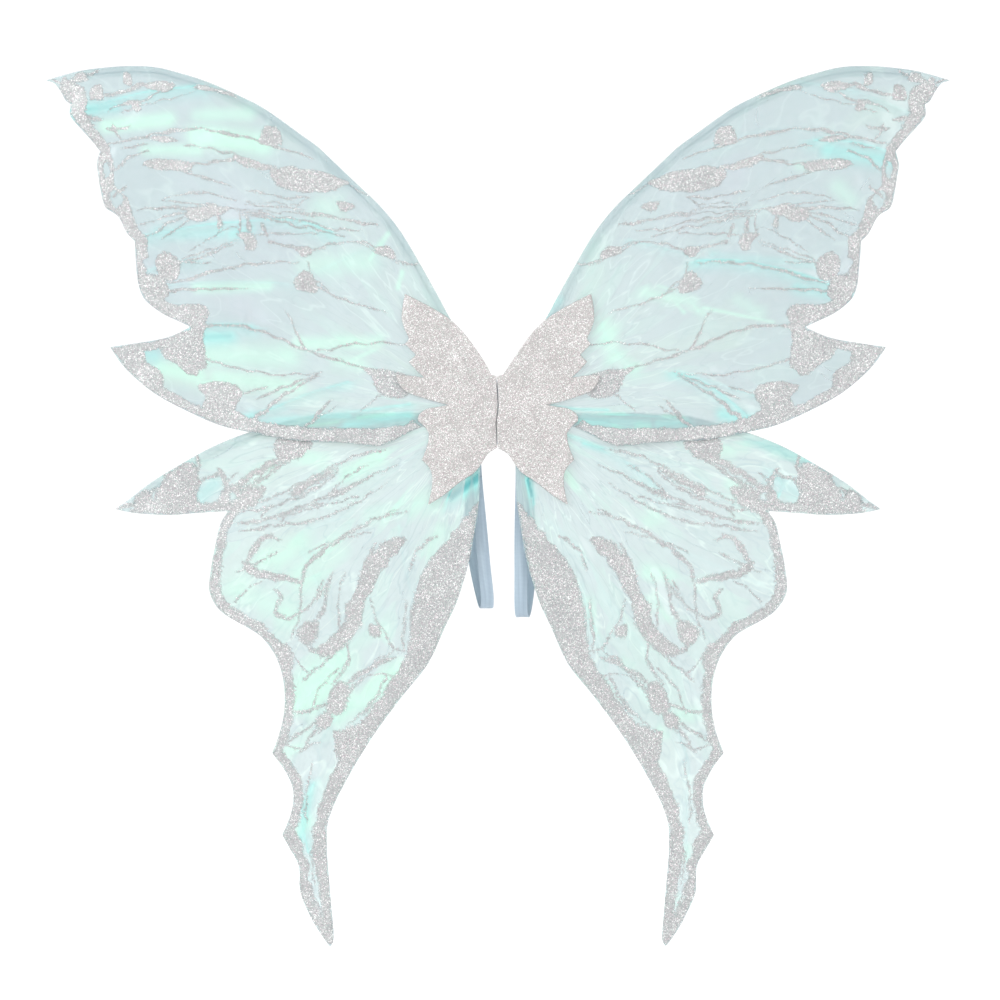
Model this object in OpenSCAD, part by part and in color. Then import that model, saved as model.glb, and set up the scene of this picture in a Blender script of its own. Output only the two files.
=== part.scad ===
// Fairy wings: two pairs of film wings on wire frames, a butterfly centre cover of
// glitter foam, a small padded back plate and two elastic arm loops.
// Frame: origin at the centre of the pad's wearer-side face, X to the right of a
// person who looks at the decorated side, Z up, decorated side toward -Y.

/* [Film] */
// Thickness of the film panels
film_t = 0.6; // [0.4:0.1:0.8]
// Thickness of the glitter print
print_t = 0.2; // [0.1:0.05:0.2]
// Width of the glitter margin along the cut edges
margin_w = 10; // [6:1:14]

/* [Hems and wires] */
// Width of the hem channel along a leading edge
hem_w = 11; // [9:1:14]
// Depth of the hem channel
channel_d = 2.6; // [2.4:0.1:2.8]
// Thickness of the doubled film that closes a channel
hem_t = 0.5; // [0.4:0.1:0.6]
// Diameter of the frame wires
wire_d = 1.8; // [1.4:0.1:1.8]

/* [Centre cover] */
// Thickness of the cover's foam
foam_t = 1.9; // [1.5:0.1:3]
// Thickness of the glitter layer on the foam
glitter_t = 0.5; // [0.3:0.1:0.6]

/* [Back pad] */
// Width of the pad
pad_w = 84; // [76:2:90]
// Height of the pad
pad_h = 64; // [56:2:66]
// Thickness of the padding
pad_t = 3.6; // [3:0.2:3.6]
// Corner radius of the pad
pad_r = 14; // [6:1:24]

/* [Arm loops] */
// Width of the elastic
strap_w = 13; // [10:1:15]
// Thickness of the elastic
strap_t = 1.2; // [1:0.1:1.6]

/* [Hidden] */

// Layers from the wearer to the decorated side. Each value is the face nearer the
// decorated side, so a layer fills from its value up by its thickness.
base_t = 1;
base_y = -pad_t - base_t;
backing_t = 2.2;
backing_y = base_y - 0.2 - backing_t;
tape_t = 0.5;
tape_y = backing_y - tape_t;
layer_gap = 0.1;
lower_film_y = tape_y - 0.1 - (wire_d + channel_d) / 2 - film_t;
upper_film_y = lower_film_y - print_t - layer_gap - film_t;
foam_y = upper_film_y - print_t - foam_t;
fold_y = foam_y - glitter_t;

// Half of the gap between the two wings at the centre plane, and the web in it
centre_gap = 0.6;
web_t = 0.4;
// Cap on the outer end of a wire
cap_d = channel_d - 0.1;
cap_l = 9;
// Sewn ends of the arm loops: distance from the centre, depth, length, gap to the loop
strap_x = 24;
strap_y = -2;
tab_l = 7.7;
tab_gap = 0.3;

// Points along a smooth curve through p, with n steps between two points
function spline_at(a, b, c, d, t) =
    0.5 * (2 * b + (c - a) * t + (2 * a - 5 * b + 4 * c - d) * t * t
    + (3 * b - a - 3 * c + d) * t * t * t);
function curve(p, n = 3) = [
    for (i = [0 : len(p) - 2], k = [0 : n - 1])
        spline_at(p[max(i - 1, 0)], p[i], p[i + 1], p[min(i + 2, len(p) - 1)], k / n),
    p[len(p) - 1]
];
// A closed outline of smooth runs that meet at corners
function outline(runs, n = 3) = [
    for (r = runs)
        let (c = curve(r, n))
            for (i = [0 : len(c) - 2]) c[i]
];
function unit(v) = v / norm(v);
function turned(v) = [-v[1], v[0]];
function along(p, i) = unit(p[min(i + 1, len(p) - 1)] - p[max(i - 1, 0)]);
function blend(a, b, t) = a + (b - a) * t;

// Outline of the upper wing, [out from the centre, up]
upper_lead = [
    [4, 24], [14, 40], [30, 66], [47, 92], [61, 118], [79, 150], [97, 180], [117, 205],
    [141, 228], [164, 250], [180, 265], [198, 278], [230, 301], [252, 313], [290, 330],
    [322, 340], [344, 345], [370, 346], [398, 344], [423, 340], [454, 331]
];
upper_runs = [
    upper_lead,
    [[454, 331], [444, 329], [437, 320], [432, 311], [427, 308]],
    [[427, 308], [428, 298], [424, 291], [416, 282], [406, 271], [398, 261]],
    [[398, 261], [401, 248], [399, 234], [396, 216], [392, 204], [384, 199], [378, 193],
        [371, 179], [363, 171]],
    [[363, 171], [362, 150], [360, 130], [355, 115], [345, 105], [333, 97], [320, 91],
        [307, 85]],
    [[307, 85], [327, 76], [348, 71], [388, 65]],
    [[388, 65], [372, 43], [344, 19], [311, 1], [279, -13], [250, -20], [214, -27],
        [180, -30], [149, -31], [118, -34], [84, -18]],
    [[84, -18], [60, -8], [30, 4], [4, 8]],
    [[4, 8], [4, 24]]
];

// Outline of the lower wing
lower_lead = [
    [4, -8], [30, -4], [60, -2], [100, -1], [140, -1], [180, -3], [216, -10], [251, -21],
    [270, -28], [292, -38], [322, -55], [348, -71], [370, -88], [383, -97]
];
lower_runs = [
    lower_lead,
    [[383, -97], [364, -101], [330, -103], [300, -101], [270, -99]],
    [[270, -99], [278, -112], [282, -130], [287, -155], [289, -178], [281, -195],
        [268, -206], [241, -221], [228, -235], [219, -252], [214, -275], [214, -300],
        [219, -323], [226, -341]],
    [[226, -341], [214, -357], [206, -374], [205, -388], [208, -404], [216, -423]],
    [[216, -423], [207, -439], [199, -455], [198, -480], [188, -504], [178, -521],
        [168, -535]],
    [[168, -535], [164, -526], [166, -498], [169, -462], [171, -434], [170, -412],
        [164, -393], [153, -371], [137, -343], [118, -314], [94, -282], [70, -252],
        [53, -215], [42, -192], [34, -168], [28, -146], [23, -118], [19, -92], [18, -66]],
    [[18, -66], [17, -50], [12, -34], [7, -20], [4, -8]]
];

// Outline of one half of the butterfly cover
cover_runs = [
    [[centre_gap, 36], [6, 37]],
    [[6, 37], [14, 51], [30, 74], [46, 91], [66, 104], [93, 118]],
    [[93, 118], [95, 106], [96, 92], [92, 80], [89, 73], [93, 68]],
    [[93, 68], [86, 61], [82, 57]],
    [[82, 57], [89, 50]],
    [[89, 50], [82, 42], [73, 34]],
    [[73, 34], [86, 36], [102, 37]],
    [[102, 37], [99, 28], [93, 21], [84, 17], [65, 11], [49, 7]],
    [[49, 7], [60, 5], [71, 3], [79, -3], [80, -9]],
    [[80, -9], [74, -14], [69, -21]],
    [[69, -21], [70, -32], [76, -48]],
    [[76, -48], [70, -54], [66, -62], [66, -76], [70, -93]],
    [[70, -93], [54, -83], [38, -70], [24, -61], [16, -51], [10, -42], [centre_gap, -36]],
    [[centre_gap, -36], [centre_gap, 36]]
];

// Glitter veins of the upper wing: [first width, last width, points]
upper_veins = [
    [3, 5, [[262, 316], [280, 321], [306, 325]]],
    [6, 3, [[350, 327], [364, 325], [376, 320], [402, 314]]],
    [3, 3, [[330, 321], [344, 317], [358, 310], [376, 308], [392, 300]]],
    [2, 4, [[398, 341], [414, 335], [440, 329]]],
    [2, 4, [[182, 252], [205, 260], [254, 275], [297, 283]]],
    [4, 2, [[297, 283], [330, 281], [373, 271], [394, 268]]],
    [3, 4, [[366, 288], [380, 283], [392, 284]]],
    [3, 3, [[376, 271], [382, 279], [386, 288]]],
    [2, 3, [[350, 269], [364, 266], [378, 264]]],
    [3, 2, [[258, 253], [275, 251], [292, 251]]],
    [2, 2, [[260, 257], [285, 262], [316, 268]]],
    [2, 3, [[262, 223], [281, 230], [300, 237], [318, 243]]],
    [3, 2, [[188, 215], [208, 214], [230, 217], [254, 222]]],
    [2, 2, [[188, 215], [197, 209], [206, 201]]],
    [2, 2, [[193, 203], [220, 205], [254, 207]]],
    [2, 2, [[258, 211], [285, 218], [310, 219], [340, 213]]],
    [2, 2, [[256, 199], [285, 207], [316, 209], [340, 213]]],
    [3, 3, [[120, 186], [136, 188], [150, 192], [178, 198], [206, 201]]],
    [2, 3, [[136, 183], [162, 182], [183, 188], [232, 197], [262, 200]]],
    [2, 3, [[150, 175], [172, 180], [215, 190], [258, 198]]],
    [2, 2, [[178, 179], [210, 178], [248, 178]]],
    [4, 2, [[297, 203], [327, 204], [350, 204], [362, 201]]],
    [3, 2, [[308, 201], [331, 196], [345, 190], [364, 187]]],
    [3, 2, [[306, 199], [327, 190], [341, 180], [356, 172]]],
    [3, 2, [[302, 196], [320, 184], [337, 173]]],
    [4, 5, [[279, 199], [278, 190], [278, 182]]],
    [3, 3, [[258, 199], [258, 188], [259, 176]]],
    [3, 3, [[252, 197], [249, 188], [247, 178]]],
    [3, 3, [[235, 190], [233, 182], [231, 172]]],
    [2, 3, [[80, 149], [94, 149], [106, 158]]],
    [3, 2, [[118, 164], [132, 168], [150, 171]]],
    [2, 3, [[150, 171], [162, 168], [174, 166], [186, 161]]],
    [4, 3, [[198, 161], [212, 167], [232, 170]]],
    [2, 3, [[258, 171], [281, 161], [300, 154], [322, 147]]],
    [2, 2, [[262, 172], [284, 164], [304, 157], [322, 151]]],
    [2, 4, [[198, 149], [220, 150], [249, 148], [278, 142], [306, 134], [330, 128]]],
    [2, 4, [[244, 124], [280, 123], [310, 122], [332, 121]]],
    [2, 3, [[110, 99], [125, 103], [140, 107], [160, 115], [184, 127]]],
    [2, 3, [[93, 67], [110, 69], [145, 68], [160, 64], [188, 61]]],
    [2, 4, [[130, 42], [150, 49], [168, 54], [190, 61]]],
    [4, 3, [[188, 61], [206, 67], [228, 77], [257, 86], [275, 87], [300, 86]]],
    [4, 2, [[188, 60], [201, 75], [205, 88], [214, 103]]],
    [2, 3, [[174, 40], [214, 37], [246, 41], [275, 47], [296, 55]]],
    [3, 3, [[177, 39], [214, 25], [244, 12]]],
    [3, 5, [[178, 37], [214, 17], [235, -1], [252, -12]]],
    [3, 4, [[164, 14], [180, -2], [196, -18]]],
    [2, 2, [[112, 21], [127, 10], [138, 0]]]
];

// Solid glitter shapes of the upper wing, each a smooth closed outline
upper_blots = [
    [[322, 325], [332, 331], [348, 330], [354, 325], [344, 321], [330, 321]],
    [[356, 303], [360, 311], [366, 308], [364, 301]],
    [[364, 329], [370, 339], [376, 338], [373, 329]],
    [[394, 312], [396, 328], [405, 327], [408, 313]],
    [[410, 331], [412, 339], [422, 338], [424, 329]],
    [[216, 267], [220, 283], [230, 287], [238, 280], [237, 270]],
    [[320, 271], [332, 277], [350, 273], [338, 269]],
    [[221, 245], [236, 250], [262, 257], [264, 253], [250, 244], [236, 241]],
    [[306, 243], [312, 251], [336, 254], [354, 250], [350, 244], [326, 241]],
    [[150, 228], [158, 234], [182, 242], [212, 246], [226, 243], [229, 234], [222, 227],
        [204, 220], [172, 220]],
    [[143, 206], [152, 211], [162, 209], [158, 202], [148, 201]],
    [[266, 201], [280, 206], [300, 206], [314, 200], [304, 190], [294, 191], [284, 196]],
    [[101, 156], [108, 165], [122, 166], [122, 158], [110, 153]],
    [[184, 160], [190, 165], [202, 165], [198, 157], [190, 156]],
    [[242, 162], [240, 172], [248, 179], [262, 178], [256, 170], [250, 161]],
    [[319, 137], [318, 150], [325, 157], [336, 160], [342, 150], [338, 134], [326, 131]],
    [[180, 122], [184, 136], [194, 141], [204, 132], [200, 122], [190, 119]],
    [[330, 116], [332, 131], [344, 138], [360, 134], [358, 114], [344, 106]],
    [[291, 47], [293, 62], [294, 80], [304, 88], [322, 82], [338, 76], [337, 60],
        [322, 47], [304, 35], [299, 40]],
    [[254, 20], [264, 29], [282, 31], [298, 29], [300, 22], [292, 14], [296, 4],
        [274, -4], [262, 6]],
    [[88, 17], [90, 36], [104, 40], [120, 43], [138, 45], [128, 36], [120, 20], [106, 13]]
];

// Wider stretches of the upper wing's glitter margin
upper_edges = [
    [[436, 334], [424, 330], [410, 318], [412, 300], [404, 288], [414, 280], [432, 306]],
    [[404, 262], [388, 258], [384, 244], [382, 226], [370, 214], [366, 200], [360, 186],
        [350, 172], [352, 160], [366, 170], [386, 192], [402, 232]],
    [[352, 168], [350, 150], [352, 134], [364, 132], [366, 160]],
    [[356, 108], [344, 116], [326, 108], [298, 108], [288, 98], [296, 86], [318, 88],
        [340, 98]],
    [[392, 66], [362, 74], [354, 62], [350, 50], [334, 38], [340, 20], [374, 42]],
    [[300, -6], [288, 8], [262, 2], [240, -8], [214, -13], [180, -16], [120, -16],
        [84, -12], [84, -24], [150, -34], [214, -30]]
];
// Bare cells inside those stretches
upper_cells = [
    [[390, 250], [394, 244], [392, 234], [388, 240]],
    [[374, 212], [382, 222], [388, 216], [382, 204]],
    [[344, 158], [352, 154], [352, 144], [345, 142]]
];

// Glitter veins of the lower wing
lower_veins = [
    [8, 6, [[205, -36], [226, -51], [250, -66], [264, -80]]],
    [9, 5, [[208, -84], [190, -72], [159, -55]]],
    [6, 3, [[170, -86], [149, -76], [130, -66]]],
    [4, 2, [[264, -110], [241, -110], [218, -103], [187, -91], [130, -66], [98, -51]]],
    [3, 2, [[260, -120], [226, -114], [191, -110], [149, -95], [111, -70]]],
    [5, 3, [[196, -172], [190, -152], [168, -134], [144, -118], [98, -96]]],
    [9, 7, [[256, -150], [246, -158], [230, -164], [212, -166], [197, -170]]],
    [4, 8, [[218, -128], [230, -124], [242, -134], [252, -152]]],
    [5, 3, [[224, -176], [217, -186], [222, -200], [210, -206], [199, -202]]],
    [3, 2, [[197, -172], [197, -190], [200, -210]]],
    [3, 4, [[166, -160], [171, -180], [175, -200], [186, -212]]],
    [2, 3, [[187, -189], [178, -183], [171, -172]]],
    [6, 3, [[122, -131], [134, -156], [138, -172], [146, -196]]],
    [5, 3, [[188, -220], [190, -232], [184, -242]]],
    [3, 3, [[196, -268], [180, -256], [160, -238], [148, -226]]],
    [2, 3, [[126, -186], [123, -205], [112, -222], [104, -236], [92, -240]]],
    [3, 2, [[92, -188], [94, -214], [95, -240]]],
    [5, 5, [[100, -246], [118, -250], [134, -260], [154, -274]]],
    [2, 4, [[110, -261], [121, -284], [138, -304]]],
    [3, 3, [[150, -226], [150, -250], [166, -272]]],
    [4, 3, [[160, -290], [182, -296], [206, -302]]],
    [3, 3, [[162, -298], [186, -314], [212, -330]]],
    [3, 3, [[178, -312], [188, -326], [198, -342]]],
    [6, 5, [[280, -56], [272, -72], [266, -90]]],
    [4, 4, [[303, -40], [300, -54], [316, -66]]],
    [2, 3, [[238, -106], [231, -98], [223, -92]]],
    [2, 3, [[219, -112], [207, -99], [190, -93], [172, -92]]]
];
lower_blots = [
    [[190, -22], [186, -34], [196, -44], [208, -52], [220, -48], [224, -34], [218, -22]],
    [[304, -52], [318, -50], [330, -60], [340, -76], [346, -96], [330, -106], [300, -106],
        [276, -104], [262, -96], [256, -84], [262, -72], [274, -76], [282, -88],
        [296, -90], [302, -78], [296, -66]],
    [[352, -78], [344, -88], [346, -104], [362, -106], [364, -88]],
    [[232, -76], [252, -74], [262, -86], [258, -98], [240, -92]],
    [[92, -128], [104, -126], [118, -132], [128, -146], [139, -160], [140, -176],
        [152, -192], [154, -210], [164, -222], [182, -238], [176, -246], [160, -240],
        [146, -226], [136, -212], [134, -192], [126, -178], [118, -162], [106, -146]],
    [[178, -212], [190, -208], [200, -218], [196, -232], [184, -230]],
    [[150, -272], [160, -270], [170, -284], [172, -298], [160, -304], [150, -292]],
    [[118, -216], [128, -212], [130, -222], [120, -226]],
    [[168, -300], [182, -306], [178, -318], [166, -312]],
    [[136, -312], [150, -316], [163, -320], [164, -338], [156, -352], [142, -344]],
    [[94, -262], [108, -268], [116, -290], [104, -296]]
];
lower_edges = [
    [[16, -90], [30, -102], [46, -122], [70, -150], [82, -178], [88, -206], [92, -244],
        [104, -262], [122, -290], [142, -318], [160, -350], [176, -384], [184, -414],
        [186, -440], [180, -470], [176, -505], [176, -530], [160, -530], [160, -430],
        [100, -300], [40, -210], [20, -120]],
    [[296, -150], [278, -160], [276, -182], [262, -198], [236, -212], [220, -228],
        [206, -236], [208, -262], [226, -262], [280, -204]],
    [[232, -340], [216, -334], [208, -350], [196, -366], [198, -384], [222, -360]],
    [[224, -424], [206, -416], [196, -428], [196, -446], [212, -450]],
    [[206, -466], [188, -470], [184, -492], [174, -510], [176, -530], [192, -510]],
    [[286, -118], [268, -112], [262, -100], [274, -96]]
];
lower_cells = [
    [[300, -62], [294, -58], [284, -66], [292, -70]],
    [[266, -80], [262, -86], [268, -90]]
];

// Centre lines of the wires, [out, toward the wearer, up]
upper_wire_y = upper_film_y + film_t + channel_d / 2;
lower_wire_y = lower_film_y + film_t + channel_d / 2;
lead_inset = hem_w / 2;
function inset_point(p, i, d) = p[i] - turned(along(p, i)) * d;
function wire_path(p, y0, y1, d) =
    let (c = curve(p, 3))
        [for (i = [4 : 2 : len(c) - 4])
            let (q = inset_point(c, i, d))
                [q[0], blend(y1, y0, min(1, (i - 4) / 6)), q[1]]];
upper_wire_path = concat([[10, lower_wire_y, 6], [14, lower_wire_y, 26]],
    wire_path(upper_lead, upper_wire_y, lower_wire_y, lead_inset));
lower_wire_path = concat([[8, lower_wire_y, -16]],
    wire_path(lower_lead, lower_wire_y, lower_wire_y, lead_inset));

// Centre line of each arm loop from its lower tab down, round and up to its upper tab
strap_route_right = [
    [24, -2, -40], [24, -1, -70], [23, 1, -120], [23, 3, -165], [23, 6, -192],
    [24, 12, -204], [26, 19, -204], [29, 26, -190], [32, 33, -160], [32, 40, -120],
    [30, 46, -75], [27, 49, -30], [25, 46, 8], [24, 36, 34], [24, 22, 47], [24, 9, 51],
    [24, 1, 48], [24, -2, 40]
];
strap_route_left = [
    [-24, -2, -40], [-22, -1, -70], [-18, 1, -111], [-14, 3, -155], [-11, 6, -182],
    [-11, 12, -195], [-13, 19, -195], [-17, 26, -181], [-23, 33, -152], [-27, 40, -115],
    [-27, 46, -72], [-25, 49, -28], [-24, 46, 8], [-24, 36, 34], [-24, 22, 47],
    [-24, 9, 51], [-24, 1, 48], [-24, -2, 40]
];

// ---- Shapes -------------------------------------------------------------------

// Flat piece that fills from y up by t
module sheet(y, t) {
    translate([0, y + t, 0])
        rotate([90, 0, 0])
            linear_extrude(t) children();
}

// The same piece on the other side
module left_side() mirror([1, 0, 0]) children();

// One vein whose width goes from w0 to w1, drawn in at both ends
function end_taper(t) = min(1, 0.3 + 4 * min(t, 1 - t));
module vein(w0, w1, points) {
    c = curve(points, 3);
    n = len(c) - 1;
    offs = [
        for (i = [0 : n]) turned(along(c, i)) * blend(w0, w1, i / n) * end_taper(i / n) / 2
    ];
    polygon([
        for (i = [0 : n]) c[i] + offs[i],
        for (i = [0 : n]) c[n - i] - offs[n - i]
    ]);
}

// Smooth closed shape through the points
module blot(points) {
    n = len(points);
    polygon([
        for (i = [0 : n - 1], k = [0 : 2])
            spline_at(points[(i + n - 1) % n], points[i], points[(i + 1) % n],
                points[(i + 2) % n], k / 3)
    ]);
}

module upper_shape() polygon(outline(upper_runs));
module lower_shape() polygon(outline(lower_runs));
module cover_shape() polygon(outline(cover_runs));

// Band along a leading edge between two insets, from curve point first to the point
// that is last from its end. A cutting band leaves out its second points, so that none
// lies in the end face of the band that it cuts.
module lead_band(lead, first, last, from, to, cutting = false) {
    c = curve(lead, 3);
    n = len(c) - 1 - last;
    steps = [for (i = [first : n]) if (!cutting || (i != first + 1 && i != n - 1)) i];
    polygon([
        for (i = steps) inset_point(c, i, from),
        for (i = [len(steps) - 1 : -1 : 0]) inset_point(c, steps[i], to)
    ]);
}

// Glitter on one wing: margin, wide stretches, shapes and veins, cut to the film and
// kept off the hem
module glitter(veins, blots, edges, cells) {
    intersection() {
        offset(delta = -0.6) children(0);
        difference() {
            union() {
                difference() {
                    children(0);
                    offset(delta = -margin_w) children(0);
                    children(1);
                }
                for (e = edges) blot(e);
                for (b = blots) blot(b);
                for (v = veins) vein(v[0], v[1], v[2]);
            }
            for (c = cells) blot(c);
            children(2);
        }
    }
}

// Everything above and inboard of a leading edge, where the margin isn't printed
module upper_bare() {
    c = curve(upper_lead, 3);
    n = len(c) - 2;
    polygon([
        for (i = [0 : n]) inset_point(c, i, -4),
        for (i = [0 : n]) inset_point(c, n - i, margin_w + 1),
        [60, -8], [0, 0]
    ]);
    polygon([[0, 40], [90, 100], [84, 10], [84, -40], [0, -40]]);
}
module lower_bare() {
    c = curve(lower_lead, 3);
    n = len(c) - 2;
    polygon([
        for (i = [0 : n]) inset_point(c, i, -4),
        for (i = [0 : n]) inset_point(c, n - i, margin_w + 1)
    ]);
    polygon([[0, 0], [60, 0], [60, -100], [0, -100]]);
}

// Round bar of diameter d along the points
module round_bar(path, d, sides_n = 8) {
    m = len(path);
    rings = [
        for (i = [0 : m - 1])
            let (t = unit(path[min(i + 1, m - 1)] - path[max(i - 1, 0)]),
                u = unit(cross([0, 1, 0], t)), v = cross(t, u))
                for (k = [0 : sides_n - 1])
                    path[i] + (u * cos(360 * k / sides_n) + v * sin(360 * k / sides_n)) * d / 2
    ];
    polyhedron(points = rings, faces = [
        [for (k = [0 : sides_n - 1]) k],
        for (i = [0 : m - 2], k = [0 : sides_n - 1])
            let (a = i * sides_n + k, b = i * sides_n + (k + 1) % sides_n)
                [a, a + sides_n, b + sides_n, b],
        [for (k = [0 : sides_n - 1]) m * sides_n - 1 - k]
    ], convexity = 6);
}

// Flat band of width w and thickness t along the points, its width kept along X
module flat_band(route, w, t) {
    path = curve(route, 4);
    m = len(path);
    rings = [
        for (i = [0 : m - 1])
            let (d = unit(path[min(i + 1, m - 1)] - path[max(i - 1, 0)]),
                dir = (i == 0 || i == m - 1) ? [0, 0, d[2] > 0 ? 1 : -1] : unit([0, d[1], d[2]]),
                v = cross(dir, [1, 0, 0]))
                for (s = [[-1, -1], [1, -1], [1, 1], [-1, 1]])
                    path[i] + [1, 0, 0] * s[0] * w / 2 + v * s[1] * t / 2
    ];
    polyhedron(points = rings, faces = [
        [0, 1, 2, 3],
        for (i = [0 : m - 2], k = [0 : 3])
            let (a = i * 4 + k, b = i * 4 + (k + 1) % 4)
                [a, a + 4, b + 4, b],
        [m * 4 - 1, m * 4 - 2, m * 4 - 3, m * 4 - 4]
    ], convexity = 6);
}

module rounded_rect(w, h, r) {
    offset(r = r, $fn = 48) square([w - 2 * r, h - 2 * r], center = true);
}

// ---- Sub-parts ----------------------------------------------------------------

// Padding that rests on the wearer's back
module back_pad() color("lightsteelblue") sheet(-pad_t, pad_t) rounded_rect(pad_w, pad_h, pad_r);

// Stiff board behind the padding
module pad_base() color("gainsboro") sheet(base_y, 1) rounded_rect(pad_w - 4, pad_h - 4, pad_r - 2);

// Cloth strip in the centre plane that both wings fold about
module spine_web() {
    color("lightgray")
        translate([-web_t / 2, fold_y + 0.4, -pad_h / 2 + 4])
            cube([web_t, base_y - fold_y - 0.4, pad_h - 8]);
}

// Sewn ends of one arm loop, over and under the pad
module strap_tabs() {
    for (s = [-1, 1])
        color("lightblue")
            translate([strap_x, strap_y, s * (pad_h + tab_l) / 2])
                cube([strap_w, strap_t, tab_l], center = true);
}

module strap_loop(route) color("lightblue") flat_band(route, strap_w, strap_t);

module cover_glitter() color("silver") sheet(fold_y, glitter_t) cover_shape();
module cover_foam() color("darkgray") sheet(foam_y, foam_t) offset(delta = -0.3) cover_shape();

// Board under each half of the cover, between the wires and the pad
module backing() {
    color("gainsboro")
        sheet(backing_y, backing_t)
            intersection() {
                rounded_rect(pad_w - 6, pad_h - 4, pad_r - 2);
                translate([centre_gap, -pad_h]) square([pad_w, 2 * pad_h]);
            }
}

// Tape that holds the wire roots to the backing
module root_tape() {
    color("whitesmoke")
        sheet(tape_y, tape_t)
            polygon([[4, -24], [34, -24], [34, 26], [22, 30], [4, 22]]);
}

module upper_film() color("lightcyan") sheet(upper_film_y, film_t) upper_shape();
module lower_film() color("lightcyan") sheet(lower_film_y, film_t) lower_shape();

module upper_print() {
    color("silver")
        sheet(upper_film_y - print_t, print_t)
            glitter(upper_veins, upper_blots, upper_edges, upper_cells) {
                upper_shape();
                upper_bare();
                polygon([[0, 40], [70, 100], [80, 60], [60, 20], [60, -10], [40, -40], [0, -40]]);
            }
}

module lower_print() {
    color("silver")
        sheet(lower_film_y - print_t, print_t)
            glitter(lower_veins, lower_blots, lower_edges, lower_cells) {
                lower_shape();
                lower_bare();
                polygon([[0, 0], [40, 0], [40, -60], [0, -60]]);
            }
}

// Channel of doubled film behind a leading edge, open toward the film and at its ends
module hem(lead, first, y) {
    color("paleturquoise")
        difference() {
            sheet(y, channel_d + hem_t) lead_band(lead, first, 3, 0, hem_w);
            sheet(y - 1, channel_d + 1)
                lead_band(lead, first - 1, 2, hem_t, hem_w - hem_t, cutting = true);
        }
}
module upper_hem() hem(upper_lead, 9, upper_film_y + film_t);
module lower_hem() hem(lower_lead, 6, lower_film_y + film_t);

module upper_wire() color("dimgray") round_bar(upper_wire_path, wire_d);
module lower_wire() color("dimgray") round_bar(lower_wire_path, wire_d);

// Soft cap over the outer end of a wire
module wire_cap(path) {
    end = path[len(path) - 1];
    way = end - path[len(path) - 2];
    color("white")
        translate(end)
            rotate([0, atan2(way[0], way[2]), 0])
                translate([0, 0, 1 - cap_l])
                    difference() {
                        cylinder(d = cap_d, h = cap_l, $fn = 32);
                        translate([0, 0, -1])
                            cylinder(d = wire_d + 0.1, h = cap_l, $fn = 32);
                    }
}
module upper_wire_cap() wire_cap(upper_wire_path);
module lower_wire_cap() wire_cap(lower_wire_path);

back_pad();
pad_base();
spine_web();
strap_tabs();  // strap_tabs_right
left_side() strap_tabs();  // strap_tabs_left
strap_loop(strap_route_right);  // strap_right
strap_loop(strap_route_left);  // strap_left
cover_glitter();  // cover_glitter_right
left_side() cover_glitter();  // cover_glitter_left
cover_foam();  // cover_foam_right
left_side() cover_foam();  // cover_foam_left
backing();  // backing_right
left_side() backing();  // backing_left
root_tape();  // root_tape_right
left_side() root_tape();  // root_tape_left
upper_film();  // upper_film_right
left_side() upper_film();  // upper_film_left
upper_print();  // upper_print_right
left_side() upper_print();  // upper_print_left
upper_hem();  // upper_hem_right
left_side() upper_hem();  // upper_hem_left
upper_wire();  // upper_wire_right
left_side() upper_wire();  // upper_wire_left
upper_wire_cap();  // upper_wire_cap_right
left_side() upper_wire_cap();  // upper_wire_cap_left
lower_film();  // lower_film_right
left_side() lower_film();  // lower_film_left
lower_print();  // lower_print_right
left_side() lower_print();  // lower_print_left
lower_hem();  // lower_hem_right
left_side() lower_hem();  // lower_hem_left
lower_wire();  // lower_wire_right
left_side() lower_wire();  // lower_wire_left
lower_wire_cap();  // lower_wire_cap_right
left_side() lower_wire_cap();  // lower_wire_cap_left
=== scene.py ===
"""Fairy wings: clear iridescent film wings with a glitter print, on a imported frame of
wires, boards and arm loops. Distances are in metres unless a name ends in _mm."""

import bpy
import numpy as np
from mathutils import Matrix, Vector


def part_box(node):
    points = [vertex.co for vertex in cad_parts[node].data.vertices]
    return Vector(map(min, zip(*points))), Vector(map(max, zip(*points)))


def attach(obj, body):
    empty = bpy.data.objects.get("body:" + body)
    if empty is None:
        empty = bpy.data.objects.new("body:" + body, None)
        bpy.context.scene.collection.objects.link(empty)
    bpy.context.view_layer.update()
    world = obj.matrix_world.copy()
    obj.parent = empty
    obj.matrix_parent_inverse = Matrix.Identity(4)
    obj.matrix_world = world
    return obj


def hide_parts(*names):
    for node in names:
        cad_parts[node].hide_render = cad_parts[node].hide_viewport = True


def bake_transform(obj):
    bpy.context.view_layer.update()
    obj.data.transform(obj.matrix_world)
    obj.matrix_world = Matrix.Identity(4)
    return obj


bl_info = {
    "name": "Fairy wings",
    "version": (1, 0, 0),
    "blender": (4, 5, 0),
    "location": "3D View > Sidebar > Wings",
    "description": "Film wings with a glitter print, a foam butterfly and arm loops",
    "category": "Object",
}

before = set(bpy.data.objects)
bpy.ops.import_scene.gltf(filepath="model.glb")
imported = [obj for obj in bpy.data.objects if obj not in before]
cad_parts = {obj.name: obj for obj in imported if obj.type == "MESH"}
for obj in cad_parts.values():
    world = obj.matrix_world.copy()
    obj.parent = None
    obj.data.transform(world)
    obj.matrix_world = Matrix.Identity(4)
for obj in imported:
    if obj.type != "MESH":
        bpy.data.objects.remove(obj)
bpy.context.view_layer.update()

MM = 0.001
SIDES = {"right": 1, "left": -1}
PAIRS = ("upper", "lower")
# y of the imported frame's layers; the decorated side faces -Y
FILM_Y = {pair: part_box(pair + "_film_right")[0].y for pair in PAIRS}
COVER_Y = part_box("cover_glitter_right")[0].y
FOAM_BACK_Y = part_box("cover_foam_right")[1].y
LENS_MM, SENSOR_MM = 100, 36
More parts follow.
